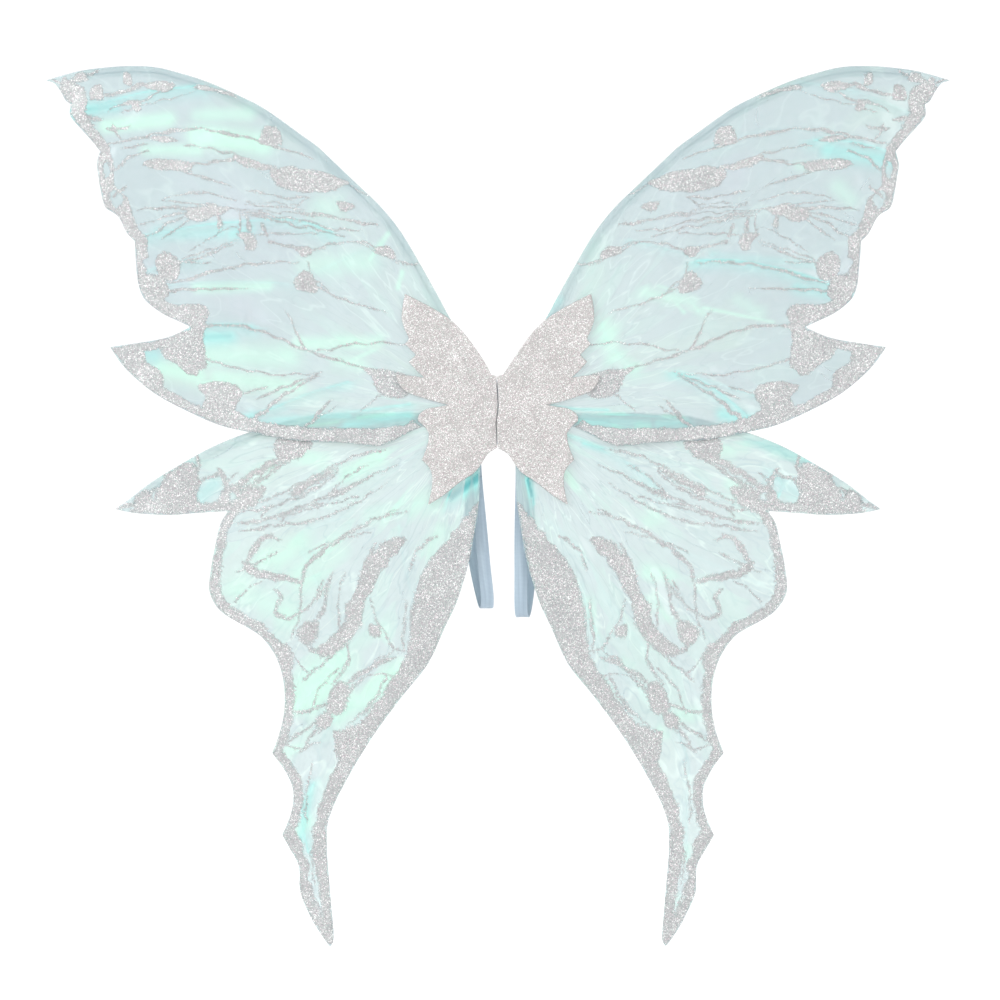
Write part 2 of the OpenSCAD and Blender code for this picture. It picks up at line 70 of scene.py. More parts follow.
# The camera's offset from the middle and its height
EYE_X, EYE_Z = 0.002, -0.088
# Points round the studio sweep
SPOKES = 96
# x of the point that each film is gathered to
ROOT_X = 0.02
# Where the film turns from flat to its full height: distances from the leading edge, from
# the butterfly and from the other film's edge
LEAD_EASE, COVER_EASE, OVERLAP_EASE = (0.010, 0.032), (0.002, 0.035), (0.004, 0.03)
# Width of the sharp teal line of painted shadow along a fold's crest
CREST_SHADE_LINE = 0.0014
# How far the print lies in front of its film and stops short of the film's edge, and how
# far inside its own edge it is at full density
PRINT_GAP, PRINT_INSET, PRINT_FADE = 0.00012, 0.0002, 0.0034
# Hem: its width, its height over the wire and its gap from the film, and the width of the
# film that is folded back
HEM_WIDTH, HEM_HEIGHT, HEM_GAP, HEM_FLAT = 0.0105, 0.0034, 0.0003, 0.014
# Half the gap at the butterfly's seam, and the thickness of its skin
SEAM_GAP, SKIN = 0.00025, 0.0006
# Back pad: how square its outline is, its bound edge's share of its thickness, and its
# sewn seam: share of the way out, width as a share, and depth
PAD_SQUARE, PAD_EDGE, PAD_SEAM = 4.5, 0.34, (0.86, 0.025, 0.0011)
STITCH_PITCH, STITCH_RADIUS = 0.0032, 0.0005
# Spacing of the boards' mesh
BOARD_GRID = 0.0012
# Arm loops: y of the sewn ends, z of an end and of the swing's axis on either side of the
# pad's middle, and how long each end stays stiff, at the foot and at the head
SEWN_Y, SEWN_Z, SWING_Z, STIFF_ENDS = -0.002, 0.0325, 0.040, (0.030, 0.034)

# Folds of each film: crest line of [out, up] points in mm, how far it stands forward and
# its width in mm, and how teal the film turns below the crest, as painted fold shade and as
# the tint of film folded double
FOLDS = {
    ("upper", "right"): [
        ([(198, 151), (225, 152), (250, 149), (300, 138), (350, 121)], 3.6, 13, 0.9),
        ([(316, 272), (345, 271), (372, 266), (396, 258)], 3.0, 16, 0.75),
        ([(176, 39), (205, 30), (230, 12), (258, -12)], 3.0, 11, 0.8),
        ([(180, 41), (215, 30), (250, 18), (275, 14)], 1.4, 6, 0.35),
        ([(150, 120), (185, 108), (225, 98), (275, 90)], 2.4, 7, 0.0),
        ([(100, 98), (135, 104), (170, 118)], 1.6, 9, 0.0),
        ([(104, 90), (112, 66), (138, 42)], 2.6, 12, 0.1),
        ([(85, -2), (130, -3), (190, -7)], 1.4, 6, 0.55),
        ([(46, 8), (80, 3), (110, 2)], 1.0, 4, 0.6),
        ([(130, 172), (185, 158), (200, 151)], 1.6, 8, 0.3),
        ([(300, 330), (350, 322), (410, 300)], 2.0, 14, 0.25),
        ([(120, 205), (200, 225), (290, 232)], 1.6, 20, 0.0),
        ([(200, 262), (270, 282), (340, 278)], 1.8, 18, 0.1),
    ],
    ("upper", "left"): [
        ([(296, 326), (340, 322), (384, 312), (424, 296)], 1.6, 14, 0.85),
        ([(166, 180), (205, 192), (255, 190), (300, 186), (362, 174)], 3.4, 14, 0.7),
        ([(246, 86), (275, 87), (304, 84)], 3.0, 14, 0.9),
        ([(150, 30), (190, 18), (225, 4), (256, -6)], 2.6, 10, 0.6),
        ([(88, 8), (130, 2), (180, -4), (236, -12)], 1.6, 8, 0.6),
        ([(84, -8), (130, -12), (170, -18)], 1.2, 5, 0.6),
        ([(300, 152), (330, 148), (352, 140)], 1.8, 14, 0.4),
        ([(210, 128), (270, 130), (366, 124)], 1.8, 8, 0.2),
        ([(120, 168), (160, 150), (205, 128)], 1.6, 16, 0.1),
        ([(100, 70), (150, 74), (205, 68)], 1.6, 12, 0.0),
        ([(150, 45), (215, 40), (300, 50)], 2.0, 18, 0.0),
        ([(220, 292), (290, 296), (380, 292)], 2.2, 18, 0.0),
        ([(240, 262), (300, 264), (350, 260)], 1.8, 12, 0.0),
    ],
    ("lower", "right"): [
        ([(70, -23), (90, -30), (110, -39), (140, -58), (165, -82)], 2.6, 12, 0.45),
        ([(80, -50), (104, -72), (136, -100)], 1.8, 7, 0.0),
        ([(150, -40), (190, -58), (226, -84)], 1.6, 10, 0.1),
        ([(30, -62), (33, -74), (36, -92)], 1.8, 6, 1.0),
        ([(272, -58), (284, -74), (276, -92)], 1.6, 9, 0.6),
        ([(52, -110), (84, -140), (112, -190), (150, -240)], 2.0, 12, 0.1),
        ([(146, -150), (160, -182), (168, -222)], 1.8, 9, 0.0),
        ([(166, -130), (210, -150), (262, -172)], 1.6, 14, 0.1),
        ([(84, -170), (96, -215), (128, -262), (170, -300)], 1.8, 12, 0.15),
        ([(176, -316), (190, -350), (188, -410), (190, -446)], 1.6, 9, 0.2),
        ([(180, -250), (196, -280), (212, -296)], 1.4, 12, 0.1),
    ],
    ("lower", "left"): [
        ([(16, -58), (30, -72), (48, -90)], 2.2, 12, 1.0),
        ([(76, -40), (120, -60), (190, -62)], 1.8, 14, 0.1),
        ([(60, -90), (120, -96), (200, -120)], 1.8, 12, 0.1),
        ([(100, -100), (96, -140), (84, -190)], 1.6, 12, 0.15),
        ([(196, -140), (168, -200), (160, -250)], 1.6, 14, 0.1),
        ([(120, -200), (150, -236), (196, -262)], 1.6, 12, 0.1),
        ([(184, -370), (196, -400), (190, -440)], 1.6, 8, 0.7),
        ([(284, -66), (300, -82)], 1.4, 8, 0.6),
        ([(150, -290), (176, -330), (180, -400)], 1.8, 12, 0.1),
    ],
}
# Soft patches of colour on the film: teal, for film in two layers and for painted fold
# shade, and mint, for painted highlights: [out, up] of both ends, radius in mm, strength
PATCHES = {
    ("teal", "upper", "right"): [
        (84, -8, 150, -12, 6, 0.6), (160, -12, 188, -12, 6, 0.7), (225, -2, 262, -12, 8, 0.7),
        (300, 124, 345, 116, 8, 0.6), (330, 262, 388, 252, 10, 0.7), (46, 96, 60, 112, 5, 0.6),
        (215, 157, 320, 146, 5, 0.3),
    ],
    ("teal", "upper", "left"): [
        (384, 306, 424, 300, 8, 0.8), (276, 180, 340, 178, 8, 0.5), (246, 184, 266, 178, 7, 0.6),
        (268, 76, 304, 74, 9, 0.8), (344, 56, 368, 60, 9, 0.6), (90, -4, 150, -12, 7, 0.7),
        (150, -4, 236, -12, 6, 0.65), (246, -4, 256, -8, 5, 0.7),
    ],
    ("teal", "lower", "right"): [
        (30, -68, 34, -84, 4, 1.0), (250, -26, 330, -58, 6, 0.35), (276, -66, 296, -78, 10, 0.4),
        (86, -32, 112, -40, 4, 0.6),
    ],
    ("teal", "lower", "left"): [
        (20, -66, 46, -84, 9, 1.0), (284, -72, 300, -88, 8, 0.6), (340, -56, 300, -36, 6, 0.4),
        (186, -372, 200, -440, 5, 0.6),
    ],
    ("mint", "upper", "right"): [
        (108, 84, 116, 56, 12, 1.0), (118, 56, 136, 44, 10, 0.9), (150, 118, 195, 110, 8, 0.9),
        (180, 110, 205, 100, 5, 0.7), (340, 224, 352, 212, 9, 0.7), (300, 246, 312, 244, 5, 0.6),
        (240, 112, 262, 98, 8, 0.5), (140, -14, 150, -16, 5, 0.9), (90, 120, 100, 160, 14, 0.3),
        (150, 119, 170, 112, 3, 1.0), (176, 111, 186, 100, 2.5, 1.0), (190, 113, 200, 101, 2.5, 1.0),
        (205, 104, 275, 90, 2, 0.9), (160, 126, 176, 122, 2, 0.8), (100, -2, 126, -2, 1.5, 0.8),
        (166, -4, 186, -6, 2, 0.9), (116, -14, 122, -18, 3, 0.8), (216, 150, 240, 152, 2, 0.5),
    ],
    ("mint", "upper", "left"): [
        (236, 268, 300, 276, 12, 1.0), (300, 262, 352, 262, 7, 0.7), (330, 292, 392, 286, 8, 1.0),
        (250, 298, 300, 296, 8, 0.6), (230, 126, 300, 124, 6, 0.8), (130, 150, 195, 146, 12, 0.5),
        (120, 70, 200, 68, 8, 0.8), (210, 56, 300, 56, 14, 0.7), (300, 36, 336, 44, 9, 0.8),
        (200, 26, 280, 34, 10, 0.7), (160, 50, 140, 46, 10, 0.6), (160, 206, 180, 204, 12, 0.4),
        (104, -2, 140, -6, 2, 0.8), (160, -10, 190, -14, 2, 0.8), (110, 178, 128, 152, 3, 0.8),
        (96, 140, 100, 124, 2.5, 0.8), (230, 34, 300, 30, 2.5, 0.7), (120, 64, 150, 50, 2.5, 0.7),
    ],
    ("mint", "lower", "right"): [
        (232, -72, 246, -80, 8, 0.9), (224, -38, 246, -36, 8, 0.7), (150, -160, 172, -164, 9, 0.9),
        (152, -186, 166, -206, 8, 0.8), (156, -230, 166, -236, 6, 0.6), (104, -80, 112, -90, 8, 0.6),
        (70, -62, 76, -74, 7, 0.8), (90, -190, 100, -215, 8, 0.5), (184, -304, 208, -302, 9, 0.8),
        (164, -318, 168, -324, 6, 0.8), (190, -436, 188, -446, 6, 0.7), (180, -486, 184, -492, 6, 0.6),
        (124, -250, 130, -254, 6, 0.6), (150, -110, 162, -104, 8, 0.6), (236, -104, 246, -110, 7, 0.6),
    ],
    ("mint", "lower", "left"): [
        (118, -46, 150, -62, 11, 0.8), (66, -90, 128, -104, 14, 0.6), (200, -130, 232, -146, 14, 0.7),
        (160, -140, 196, -166, 16, 0.6), (156, -250, 196, -290, 20, 0.9),
        (100, -262, 160, -300, 14, 0.8), (196, -320, 212, -350, 10, 0.5), (176, -50, 200, -42, 10, 0.6),
        (230, -60, 250, -80, 12, 0.6), (210, -200, 260, -180, 16, 0.5), (120, -220, 150, -236, 12, 0.5),
        (190, -410, 205, -425, 6, 0.7), (60, -120, 72, -140, 10, 0.5),
    ],
}

# How strongly the mint patches of painted highlight show on each side
HIGHLIGHT_SHARE = {"right": 0.6, "left": 0.85}

# Finer veins and bands of the print than the frame has: line of [out, up] points in mm
# and half its width in mm; the same on both sides
FINE_VEINS = {
    "upper": [
        ([(222, 246), (262, 253), (300, 247), (342, 249)], 1.8), ([(424, 327), (446, 331)], 2.6),
        ([(300, 323), (330, 312), (360, 306), (378, 299)], 0.7), ([(396, 292), (414, 296)], 3.0),
        ([(92, 146), (130, 164), (150, 170), (186, 161)], 0.7),
        ([(120, 187), (180, 196), (262, 203)], 0.6),
        ([(200, 208), (252, 210)], 0.6), ([(262, 186), (280, 178), (310, 160)], 0.6),
        ([(350, 262), (372, 252), (384, 240)], 2.4), ([(372, 226), (386, 214)], 3.2),
        ([(120, 38), (150, 50), (190, 60)], 0.7), ([(190, 150), (184, 134), (170, 122)], 0.6),
        ([(318, 66), (340, 74), (372, 68)], 1.2), ([(286, 150), (320, 150), (336, 160)], 1.4),
        ([(84, -12), (110, -22), (150, -24)], 1.6), ([(170, 228), (150, 226), (128, 216)], 1.2),
        ([(160, 6), (178, -4), (190, -14)], 0.8), ([(230, 26), (262, 16), (280, 8)], 1.0),
    ],
    "lower": [
        ([(112, -37), (150, -47), (182, -64), (236, -90)], 1.3),
        ([(206, -44), (226, -60), (262, -82)], 3.2),
        ([(160, -60), (184, -77), (224, -94), (264, -100)], 1.8),
        ([(140, -84), (176, -94), (250, -112)], 0.6),
        ([(130, -52), (150, -64), (172, -86)], 0.7), ([(180, -140), (188, -148), (194, -156)], 0.7),
        ([(176, -168), (182, -186), (196, -201), (212, -207)], 1.0),
        ([(196, -184), (201, -210), (208, -226)], 0.8),
        ([(60, -122), (82, -140), (88, -158)], 1.4), ([(150, -226), (170, -242), (188, -236)], 2.0),
        ([(136, -266), (150, -281), (166, -300), (178, -320)], 2.6),
        ([(160, -256), (178, -276), (188, -302)], 0.8),
        ([(106, -262), (128, -263), (140, -270)], 0.8), ([(128, -290), (142, -306), (156, -322)], 0.8),
        ([(180, -330), (200, -337), (216, -331)], 0.8), ([(186, -350), (191, -380), (192, -412)], 0.8),
        ([(104, -236), (112, -244), (124, -248)], 1.0), ([(346, -88), (366, -93), (381, -97)], 4.0),
        ([(330, -70), (346, -80), (360, -88)], 2.4), ([(222, -140), (246, -154), (262, -160)], 1.2),
        ([(90, -100), (120, -106), (150, -120)], 0.5), ([(128, -120), (160, -128), (190, -140)], 0.6),
        ([(154, -160), (160, -190), (158, -220)], 0.5), ([(236, -170), (250, -176), (262, -190)], 0.6),
        ([(178, -420), (186, -440), (184, -470)], 0.9), ([(190, -470), (180, -496), (172, -512)], 2.0),
        ([(206, -240), (196, -256), (186, -262)], 0.7), ([(276, -62), (296, -68), (320, -84)], 3.0),
        ([(262, -60), (272, -74), (268, -92)], 1.6),
    ],
}

# Creases of the butterfly's skin: line of [out, up] points in mm, height and width in mm
COVER_FOLDS = {
    "right": [([(60, 66), (40, 34), (16, 8)], 0.4, 8), ([(52, -62), (34, -34), (10, -10)], 0.5, 7)],
    "left": [([(70, 106), (46, 70), (24, 28), (8, 2)], 0.8, 4),
             ([(58, -66), (34, -36), (8, -14)], 0.5, 6)],
}
# How far the butterfly's middle seam winds off centre, in mm, at some heights in mm
SEAM_HEIGHTS = (-31, -12, 6, 34)
SEAM_SHIFTS = (-0.8, -1.9, 0.3, -1.3)

# Centre line of each arm loop as the frame has it, in mm: [right, toward the wearer, up]
LOOP_ROUTES = {
    "right": [
        (24, -2, -40), (24, -1, -70), (23, 1, -120), (23, 3, -165), (23, 6, -192),
        (24, 12, -204), (26, 19, -204), (29, 26, -190), (32, 33, -160), (32, 40, -120),
        (30, 46, -75), (27, 49, -30), (25, 46, 8), (24, 36, 34), (24, 22, 47), (24, 9, 51),
        (24, 1, 48), (24, -2, 40),
    ],
    "left": [
        (-24, -2, -40), (-22, -1, -70), (-18, 1, -111), (-14, 3, -155), (-11, 6, -182),
        (-11, 12, -195), (-13, 19, -195), (-17, 26, -181), (-23, 33, -152), (-27, 40, -115),
        (-27, 46, -72), (-25, 49, -28), (-24, 46, 8), (-24, 36, 34), (-24, 22, 47),
        (-24, 9, 51), (-24, 1, 48), (-24, -2, 40),
    ],
}


def linear(code):
    """sRGB hex code as a linear colour with full alpha."""
    channels = np.array([int(code[i:i + 2], 16) for i in (0, 2, 4)]) / 255
    low, high = channels / 12.92, ((channels + 0.055) / 1.055) ** 2.4
    return (*np.where(channels <= 0.04045, low, high).tolist(), 1.0)


# ---- Fields over the wing's plane; points are rows of [out, up] ---------------------


def node_border(node):
    """Border of a flat CAD node's decorated face as rows of [x1, z1, x2, z2]: the edges
    that only one of that face's triangles has."""
    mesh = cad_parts[node].data
    mesh.calc_loop_triangles()
    points = np.empty(len(mesh.vertices) * 3, np.float32)
    mesh.vertices.foreach_get("co", points)
    points = points.reshape(-1, 3).astype(float)
    corners = np.empty(len(mesh.loop_triangles) * 3, np.int32)
    mesh.loop_triangles.foreach_get("vertices", corners)
    keys = np.round(points * 1e6).astype(np.int64)
    _, first, same = np.unique(keys, axis=0, return_index=True, return_inverse=True)
    corners = same.reshape(-1)[corners].reshape(-1, 3)
    points = points[first]
    front = (points[corners, 1] < points[:, 1].min() + 1e-6).all(axis=1)
    edges = np.sort(corners[front][:, [0, 1, 1, 2, 2, 0]].reshape(-1, 2), axis=1)
    edges, count = np.unique(edges, axis=0, return_counts=True)
    edges = edges[count == 1]
    return np.hstack([points[edges[:, 0]][:, [0, 2]], points[edges[:, 1]][:, [0, 2]]])


def signed_distance(points, border, block=1200):
    """Distance from each point to the nearest border edge, negative inside: there a ray
    toward +x crosses the border an odd number of times."""
    points, border = points.astype(np.float32), border.astype(np.float32)
    start, way = border[:, :2], border[:, 2:] - border[:, :2]
    length2 = np.maximum((way ** 2).sum(axis=1), 1e-14)
    safe = np.where(np.abs(way[:, 1]) < 1e-12, 1e-12, way[:, 1])
    result = np.empty(len(points))
    for i in range(0, len(points), block):
        tx = points[i:i + block, None, 0] - start[:, 0]
        tz = points[i:i + block, None, 1] - start[:, 1]
        t = np.clip((tx * way[:, 0] + tz * way[:, 1]) / length2, 0, 1)
        gap = ((tx - t * way[:, 0]) ** 2 + (tz - t * way[:, 1]) ** 2).min(axis=1)
        crosses = ((tz >= 0) != (tz >= way[:, 1])) & (tx < way[:, 0] * tz / safe)
        inside = crosses.sum(axis=1) % 2 == 1
        result[i:i + block] = np.sqrt(gap) * np.where(inside, -1, 1)
    return result


def ramp(value, low, high):
    """Smooth step from 0 at low to 1 at high."""
    t = np.clip((value - low) / (high - low), 0, 1)
    return t * t * (3 - 2 * t)


def ripple(points, wavelength, seed, waves=8):
    """Sum of sine waves in seeded random directions, about -1 to 1."""
    rng = np.random.default_rng(seed)
    angle = rng.uniform(0, 2 * np.pi, waves)
    length = wavelength * rng.uniform(0.7, 1.4, waves)
    phase = rng.uniform(0, 2 * np.pi, waves)
    ways = np.stack([np.cos(angle), np.sin(angle)]) * 2 * np.pi / length
    return np.sin(points @ ways + phase).sum(axis=1) / np.sqrt(waves)


def smooth_path(points, steps):
    """Catmull-Rom curve through the points, with that many steps from one to the next."""
    points = np.asarray(points, float)
    padded = np.vstack([points[:1], points, points[-1:]])
    a, b, c, d = (padded[i:len(padded) - 3 + i, None, :] for i in range(4))
    t = (np.arange(steps) / steps)[None, :, None]
    curve = 0.5 * (2 * b + (c - a) * t + (2 * a - 5 * b + 4 * c - d) * t ** 2
                   + (3 * b - a - 3 * c + d) * t ** 3)
    return np.vstack([curve.reshape(-1, points.shape[1]), points[-1:]])


def even_path(path, step):
    """The path again with points that step apart, and how far along it each one is."""
    run = np.concatenate([[0], np.cumsum(np.linalg.norm(np.diff(path, axis=0), axis=1))])
    at = np.linspace(0, run[-1], max(2, int(round(run[-1] / step)) + 1))
    return np.stack([np.interp(at, run, path[:, k]) for k in range(path.shape[1])], 1), at


def line_field(points, line_mm):
    """Distance from a drawn line, positive on its left, and how far along it from 0 to 1."""
    line = smooth_path(np.array(line_mm, float) * MM, 6)
    start, way = line[:-1], line[1:] - line[:-1]
    tx = points[:, None, 0] - start[:, 0]
    tz = points[:, None, 1] - start[:, 1]
    t = np.clip((tx * way[:, 0] + tz * way[:, 1]) / (way ** 2).sum(axis=1), 0, 1)
    gap = np.hypot(tx - t * way[:, 0], tz - t * way[:, 1])
    best, row = gap.argmin(axis=1), np.arange(len(points))
    side = way[best, 0] * tz[row, best] - way[best, 1] * tx[row, best]
    return gap[row, best] * np.where(side < 0, -1, 1), (best + t[row, best]) / len(start)


def patch(points, kind, pair, side):
    """Strength of one colour from 0 to 1: each patch is a segment with a soft radius, and
    falls off as exp(-(distance / radius) squared)."""
    total = np.zeros(len(points))
    for x1, z1, x2, z2, radius, strength in PATCHES[kind, pair, side]:
        ends = np.array([[x1, z1, x2, z2]]) * MM
        gap = np.abs(signed_distance(points, ends))
        total = np.maximum(total, strength * np.exp(-(gap / (radius * MM)) ** 2))
    return total


def top_edge(border, count):
    """The border's highest crossing above evenly spaced x, as rows of [x, z]."""
    x1, z1, x2, z2 = border.T
    xs = np.linspace(border[:, ::2].min() + 1e-4, border[:, ::2].max() - 1e-4, count)
    t = (xs[:, None] - x1) / np.where(np.abs(x2 - x1) < 1e-9, 1e-9, x2 - x1)
    height = np.where((t >= 0) & (t <= 1), z1 + t * (z2 - z1), -1e9)
    return np.stack([xs, height.max(axis=1)], 1)


BORDERS = {pair: node_border(pair + "_film_right") for pair in PAIRS}
COVER_BORDER = node_border("cover_glitter_right")
LEADS = {pair: top_edge(BORDERS[pair], 260) for pair in PAIRS}


def lead_gap(points, pair):
    """Distance from the film's leading edge."""
    lead = LEADS[pair]
    return np.abs(signed_distance(points, np.hstack([lead[:-1], lead[1:]])))


def fold_shade_and_teal(points, pair, side):
    """How teal the film is: painted fold shade, strong just below a fold's crest and gone about
    one and a half widths away, with a sharp line of painted shadow on the crest; and the
    teal patches, film in two layers and painted fold shade."""
    total = patch(points, "teal", pair, side)
    for line, _, width_mm, teal in FOLDS[pair, side]:
        gap, _ = line_field(points, line)
        # Painted fold shade below the crest, and a sharp line of painted shadow on it
        below = np.where(gap < 0, -gap / (0.8 * width_mm * MM), gap / (0.2 * width_mm * MM))
        total = np.maximum(total, 0.55 * teal * np.exp(-below ** 2))
        total = np.maximum(total, teal * np.exp(-(gap / CREST_SHADE_LINE) ** 2))
    return total


def from_root(points):
    """Distance and direction of each point from where the film is gathered."""
    out, up = points[:, 0] - ROOT_X, points[:, 1]
    return np.hypot(out, up), np.arctan2(up, out)


def film_marks(points, pair, side):
    """Numbers the film's finish reads: teal, for film in two layers and for painted fold
    shade, and mint, for painted highlights; how crushed it is; and radial coordinates from
    the root, a third as long outward as round, since the film is pulled outward, with a
    separate third coordinate for each sheet."""
    reach, angle = from_root(points)
    if pair == "upper":
        crush = 0.30 + 0.45 * (1 - ramp(reach, 0.10, 0.30))
    else:
        crush = 1.0 - 0.3 * ramp(reach, 0.36, 0.5)
    sheet = 3.7 * list(FOLDS).index((pair, side))
    mint = HIGHLIGHT_SHARE[side] * patch(points, "mint", pair, side)
    return {"teal": fold_shade_and_teal(points, pair, side), "mint": mint,
            "crush": crush, "outward": reach / 3, "around": angle * 0.25,
            "sheet": np.full(len(points), sheet)}


def film_y(points, pair, side, s):
    """y of the film's decorated face. Folds are crests that fall off slowly above and
    sharply below; long waves fan out of the root; all of it eases to flat at the hem and
    under the cover. Where the two wings overlap, the upper film stands forward and the
    lower one back."""
    seed = 10 if side == "right" else 20
    rise = np.zeros(len(points))
    for line, height_mm, width_mm, _ in FOLDS[pair, side]:
        gap, along = line_field(points, line)
        slope = np.where(gap < 0, 0.45, 1.0) * width_mm * MM
        ends = ramp(along, 0, 0.2) * ramp(1 - along, 0, 0.2)
        rise += height_mm * MM * np.exp(-(gap / slope) ** 2) * ends
    reach, angle = from_root(points)
    fan = np.sin(angle * 17 + seed + 3 * np.sin(reach * 9)) * ramp(reach, 0.08, 0.3)
    fine = np.sin(angle * 61 + seed + 5 * np.sin(reach * 14)) * ramp(reach, 0.06, 0.2)
    rise += s.wave * (0.55 * fan + 0.12 * fine + 0.5 * ripple(points, 0.09, seed)
                      + 0.16 * ripple(points, 0.03, seed + 1))
    edge = np.abs(signed_distance(points, BORDERS[pair]))
    rise += s.wave * 0.5 * ripple(points, 0.045, seed + 2) * (1 - ramp(edge, 0, 0.02))
    clear = signed_distance(points, COVER_BORDER)
    rise *= ramp(lead_gap(points, pair), *LEAD_EASE) * ramp(clear, *COVER_EASE)
    other = signed_distance(points, BORDERS["lower" if pair == "upper" else "upper"])
    share = (1 - ramp(other, *OVERLAP_EASE)) * ramp(clear, 0.0, 0.02)
    if pair == "upper":
        stood = s.overlap + np.abs(rise)
    else:
        stood = -0.5 * np.abs(rise)
    return FILM_Y[pair] - (rise * (1 - share) + stood * share)


# ---- Meshes -------------------------------------------------------------------------


def cut_grid(field, low, step):
    """The part of a grid where the field is negative, as points and triangles. A square
    is two triangles, and an edge that the border crosses is cut where the field is 0."""
    nx, nz = field.shape
    index = np.arange(nx * nz).reshape(nx, nz)
    a, b, c, d = index[:-1, :-1], index[1:, :-1], index[1:, 1:], index[:-1, 1:]
    corners = np.concatenate([np.stack([a, b, c], -1).reshape(-1, 3),
                              np.stack([a, c, d], -1).reshape(-1, 3)])
    value = field.ravel()
    place = low + np.stack(np.unravel_index(np.arange(nx * nz), (nx, nz)), 1) * step
    inside = value[corners] < 0
    count = inside.sum(axis=1)
    corners, inside, count = corners[count > 0], inside[count > 0], count[count > 0]
    odd = np.where(count == 1, inside.argmax(axis=1), (~inside).argmax(axis=1))
    rows = np.arange(len(corners))
    p, q, r = (corners[rows, (odd + i) % 3] for i in range(3))
    total = nx * nz

    def cut(i, j):
        return (np.minimum(i, j) + 1) * total + np.maximum(i, j)

    one, two, whole = count == 1, count == 2, count == 3
    triangles = np.concatenate([
        np.stack([p, q, r], 1)[whole],
        np.stack([p, cut(p, q), cut(p, r)], 1)[one],
        np.stack([q, r, cut(p, r)], 1)[two],
        np.stack([q, cut(p, r), cut(p, q)], 1)[two],
    ])
    keys, triangles = np.unique(triangles, return_inverse=True)
    is_cut = keys >= total
    i, j = np.where(is_cut, keys // total - 1, keys), keys % total
    span = value[i] - value[j]
    share = np.where(is_cut, np.clip(value[i] / np.where(span == 0, 1, span), 0.03, 0.97), 0)
    return place[i] + (place[j] - place[i]) * share[:, None], triangles.reshape(-1, 3)


def sampled(border, step, field=None):
    """cut_grid over the border's box, with the field worked out at the grid's points: the
    distance from the border where no field is given."""
    if field is None:
        def field(points):
            return signed_distance(points, border)
    low = border.reshape(-1, 2).min(axis=0) - 2 * step
    size = np.ceil((border.reshape(-1, 2).max(axis=0) + 2 * step - low) / step).astype(int) + 1
    grid = low + np.stack(np.unravel_index(np.arange(size.prod()), size), 1) * step
    return cut_grid(field(grid).reshape(size), low, step)


def rolled(points, border, radius):
    """How far back a sheet with a rounded rim stands at each point: a quarter circle over
    the last radius before the border."""
    inset = np.clip(-signed_distance(points, border), 0, radius)
    short = radius - inset
    return radius - np.sqrt(np.clip(radius ** 2 - short ** 2, 0, 1))


def new_piece(name, points, faces, marks=None, uv=None, flat=0):
    """Object from arrays: points (n, 3), a list of faces, marks by name with one number a
    point, and uv with one pair a point. The last faces, as many as flat says, are shaded
    flat and the rest smooth. A closed mesh whose volume comes out negative is inside out,
    and is turned."""
    mesh = bpy.data.meshes.new(name)
    mesh.from_pydata(points.tolist(), [], faces)
    mesh.calc_loop_triangles()
    corners = np.empty(len(mesh.loop_triangles) * 3, np.int32)
    mesh.loop_triangles.foreach_get("vertices", corners)
    a, b, c = (points[corners.reshape(-1, 3)[:, i]] for i in range(3))
    if (a * np.cross(b, c)).sum() < 0:
        mesh.flip_normals()
    for key, values in (marks or {}).items():
        mark = mesh.attributes.new(key, "FLOAT", "POINT")
        mark.data.foreach_set("value", np.asarray(values, np.float32))
    if uv is not None:
        corner = np.empty(len(mesh.loops), np.int32)
        mesh.loops.foreach_get("vertex_index", corner)
        layer = mesh.uv_layers.new(name="Cloth")
        layer.data.foreach_set("uv", uv[corner].astype(np.float32).ravel())
    mesh.polygons.foreach_set("use_smooth", np.arange(len(faces)) < len(faces) - flat)
    piece = bpy.data.objects.new(name, mesh)
    bpy.context.scene.collection.objects.link(piece)
    return piece


def closed_sheet(name, points, triangles, front, back, mirror=1, marks=None):
    """Thin closed solid over a cut grid: one face at y = front, one at y = back, and a
    wall along every edge that only one triangle has."""
    n = len(points)
    x = points[:, 0] * mirror
    place = np.concatenate([np.stack([x, front, points[:, 1]], 1),
                            np.stack([x, back, points[:, 1]], 1)])
    ways = triangles[:, [0, 1, 1, 2, 2, 0]].reshape(-1, 2)
    _, at, count = np.unique(np.sort(ways, axis=1) @ np.array([n, 1]),
                             return_index=True, return_counts=True)
    rim = ways[at[count == 1]]
    walls = np.stack([rim[:, 1], rim[:, 0], rim[:, 0] + n, rim[:, 1] + n], 1)
    sides = np.concatenate([triangles, triangles[:, ::-1] + n])
    both = {key: np.concatenate([v, v]) for key, v in (marks or {}).items()}
    return new_piece(name, place, sides.tolist() + walls.tolist(), both, flat=len(walls))


def tube(n, m):
    """Faces of n rings of m points each: quads, and then a cap on the first ring and one
    on the last."""
    i, k = (v.ravel() for v in np.meshgrid(np.arange(n - 1), np.arange(m), indexing="ij"))
    near, far = i * m, (i + 1) * m
    turned = (k + 1) % m
    quads = np.stack([near + k, near + turned, far + turned, far + k], 1)
    return quads.tolist() + [list(range(m))[::-1], list(range((n - 1) * m, n * m))]


def swept(name, path, across, out, section, mirror=1, marks=None, start=0.0):
    """Closed bar: a ring of [across, out] offsets, one ring or one for each path point,
    carried along the path, with both ends capped. Its UV is distance along, counted from
    start, and distance across."""
    n, m = len(path), section.shape[-2]
    section = np.broadcast_to(section, (n, m, 2))
    points = (path[:, None] + across[:, None] * section[..., :1]
              + out[:, None] * section[..., 1:]).reshape(-1, 3)
    points[:, 0] *= mirror
    run = np.concatenate([[0], np.cumsum(np.linalg.norm(np.diff(path, axis=0), axis=1))])
    uv = np.stack([np.repeat(run + start, m), section[..., 0].ravel()], 1)
    return new_piece(name, points, tube(n, m), marks, uv, flat=2)


def unit(vectors):
    """The vectors, each divided by its length."""
    return vectors / np.linalg.norm(vectors, axis=-1, keepdims=True)


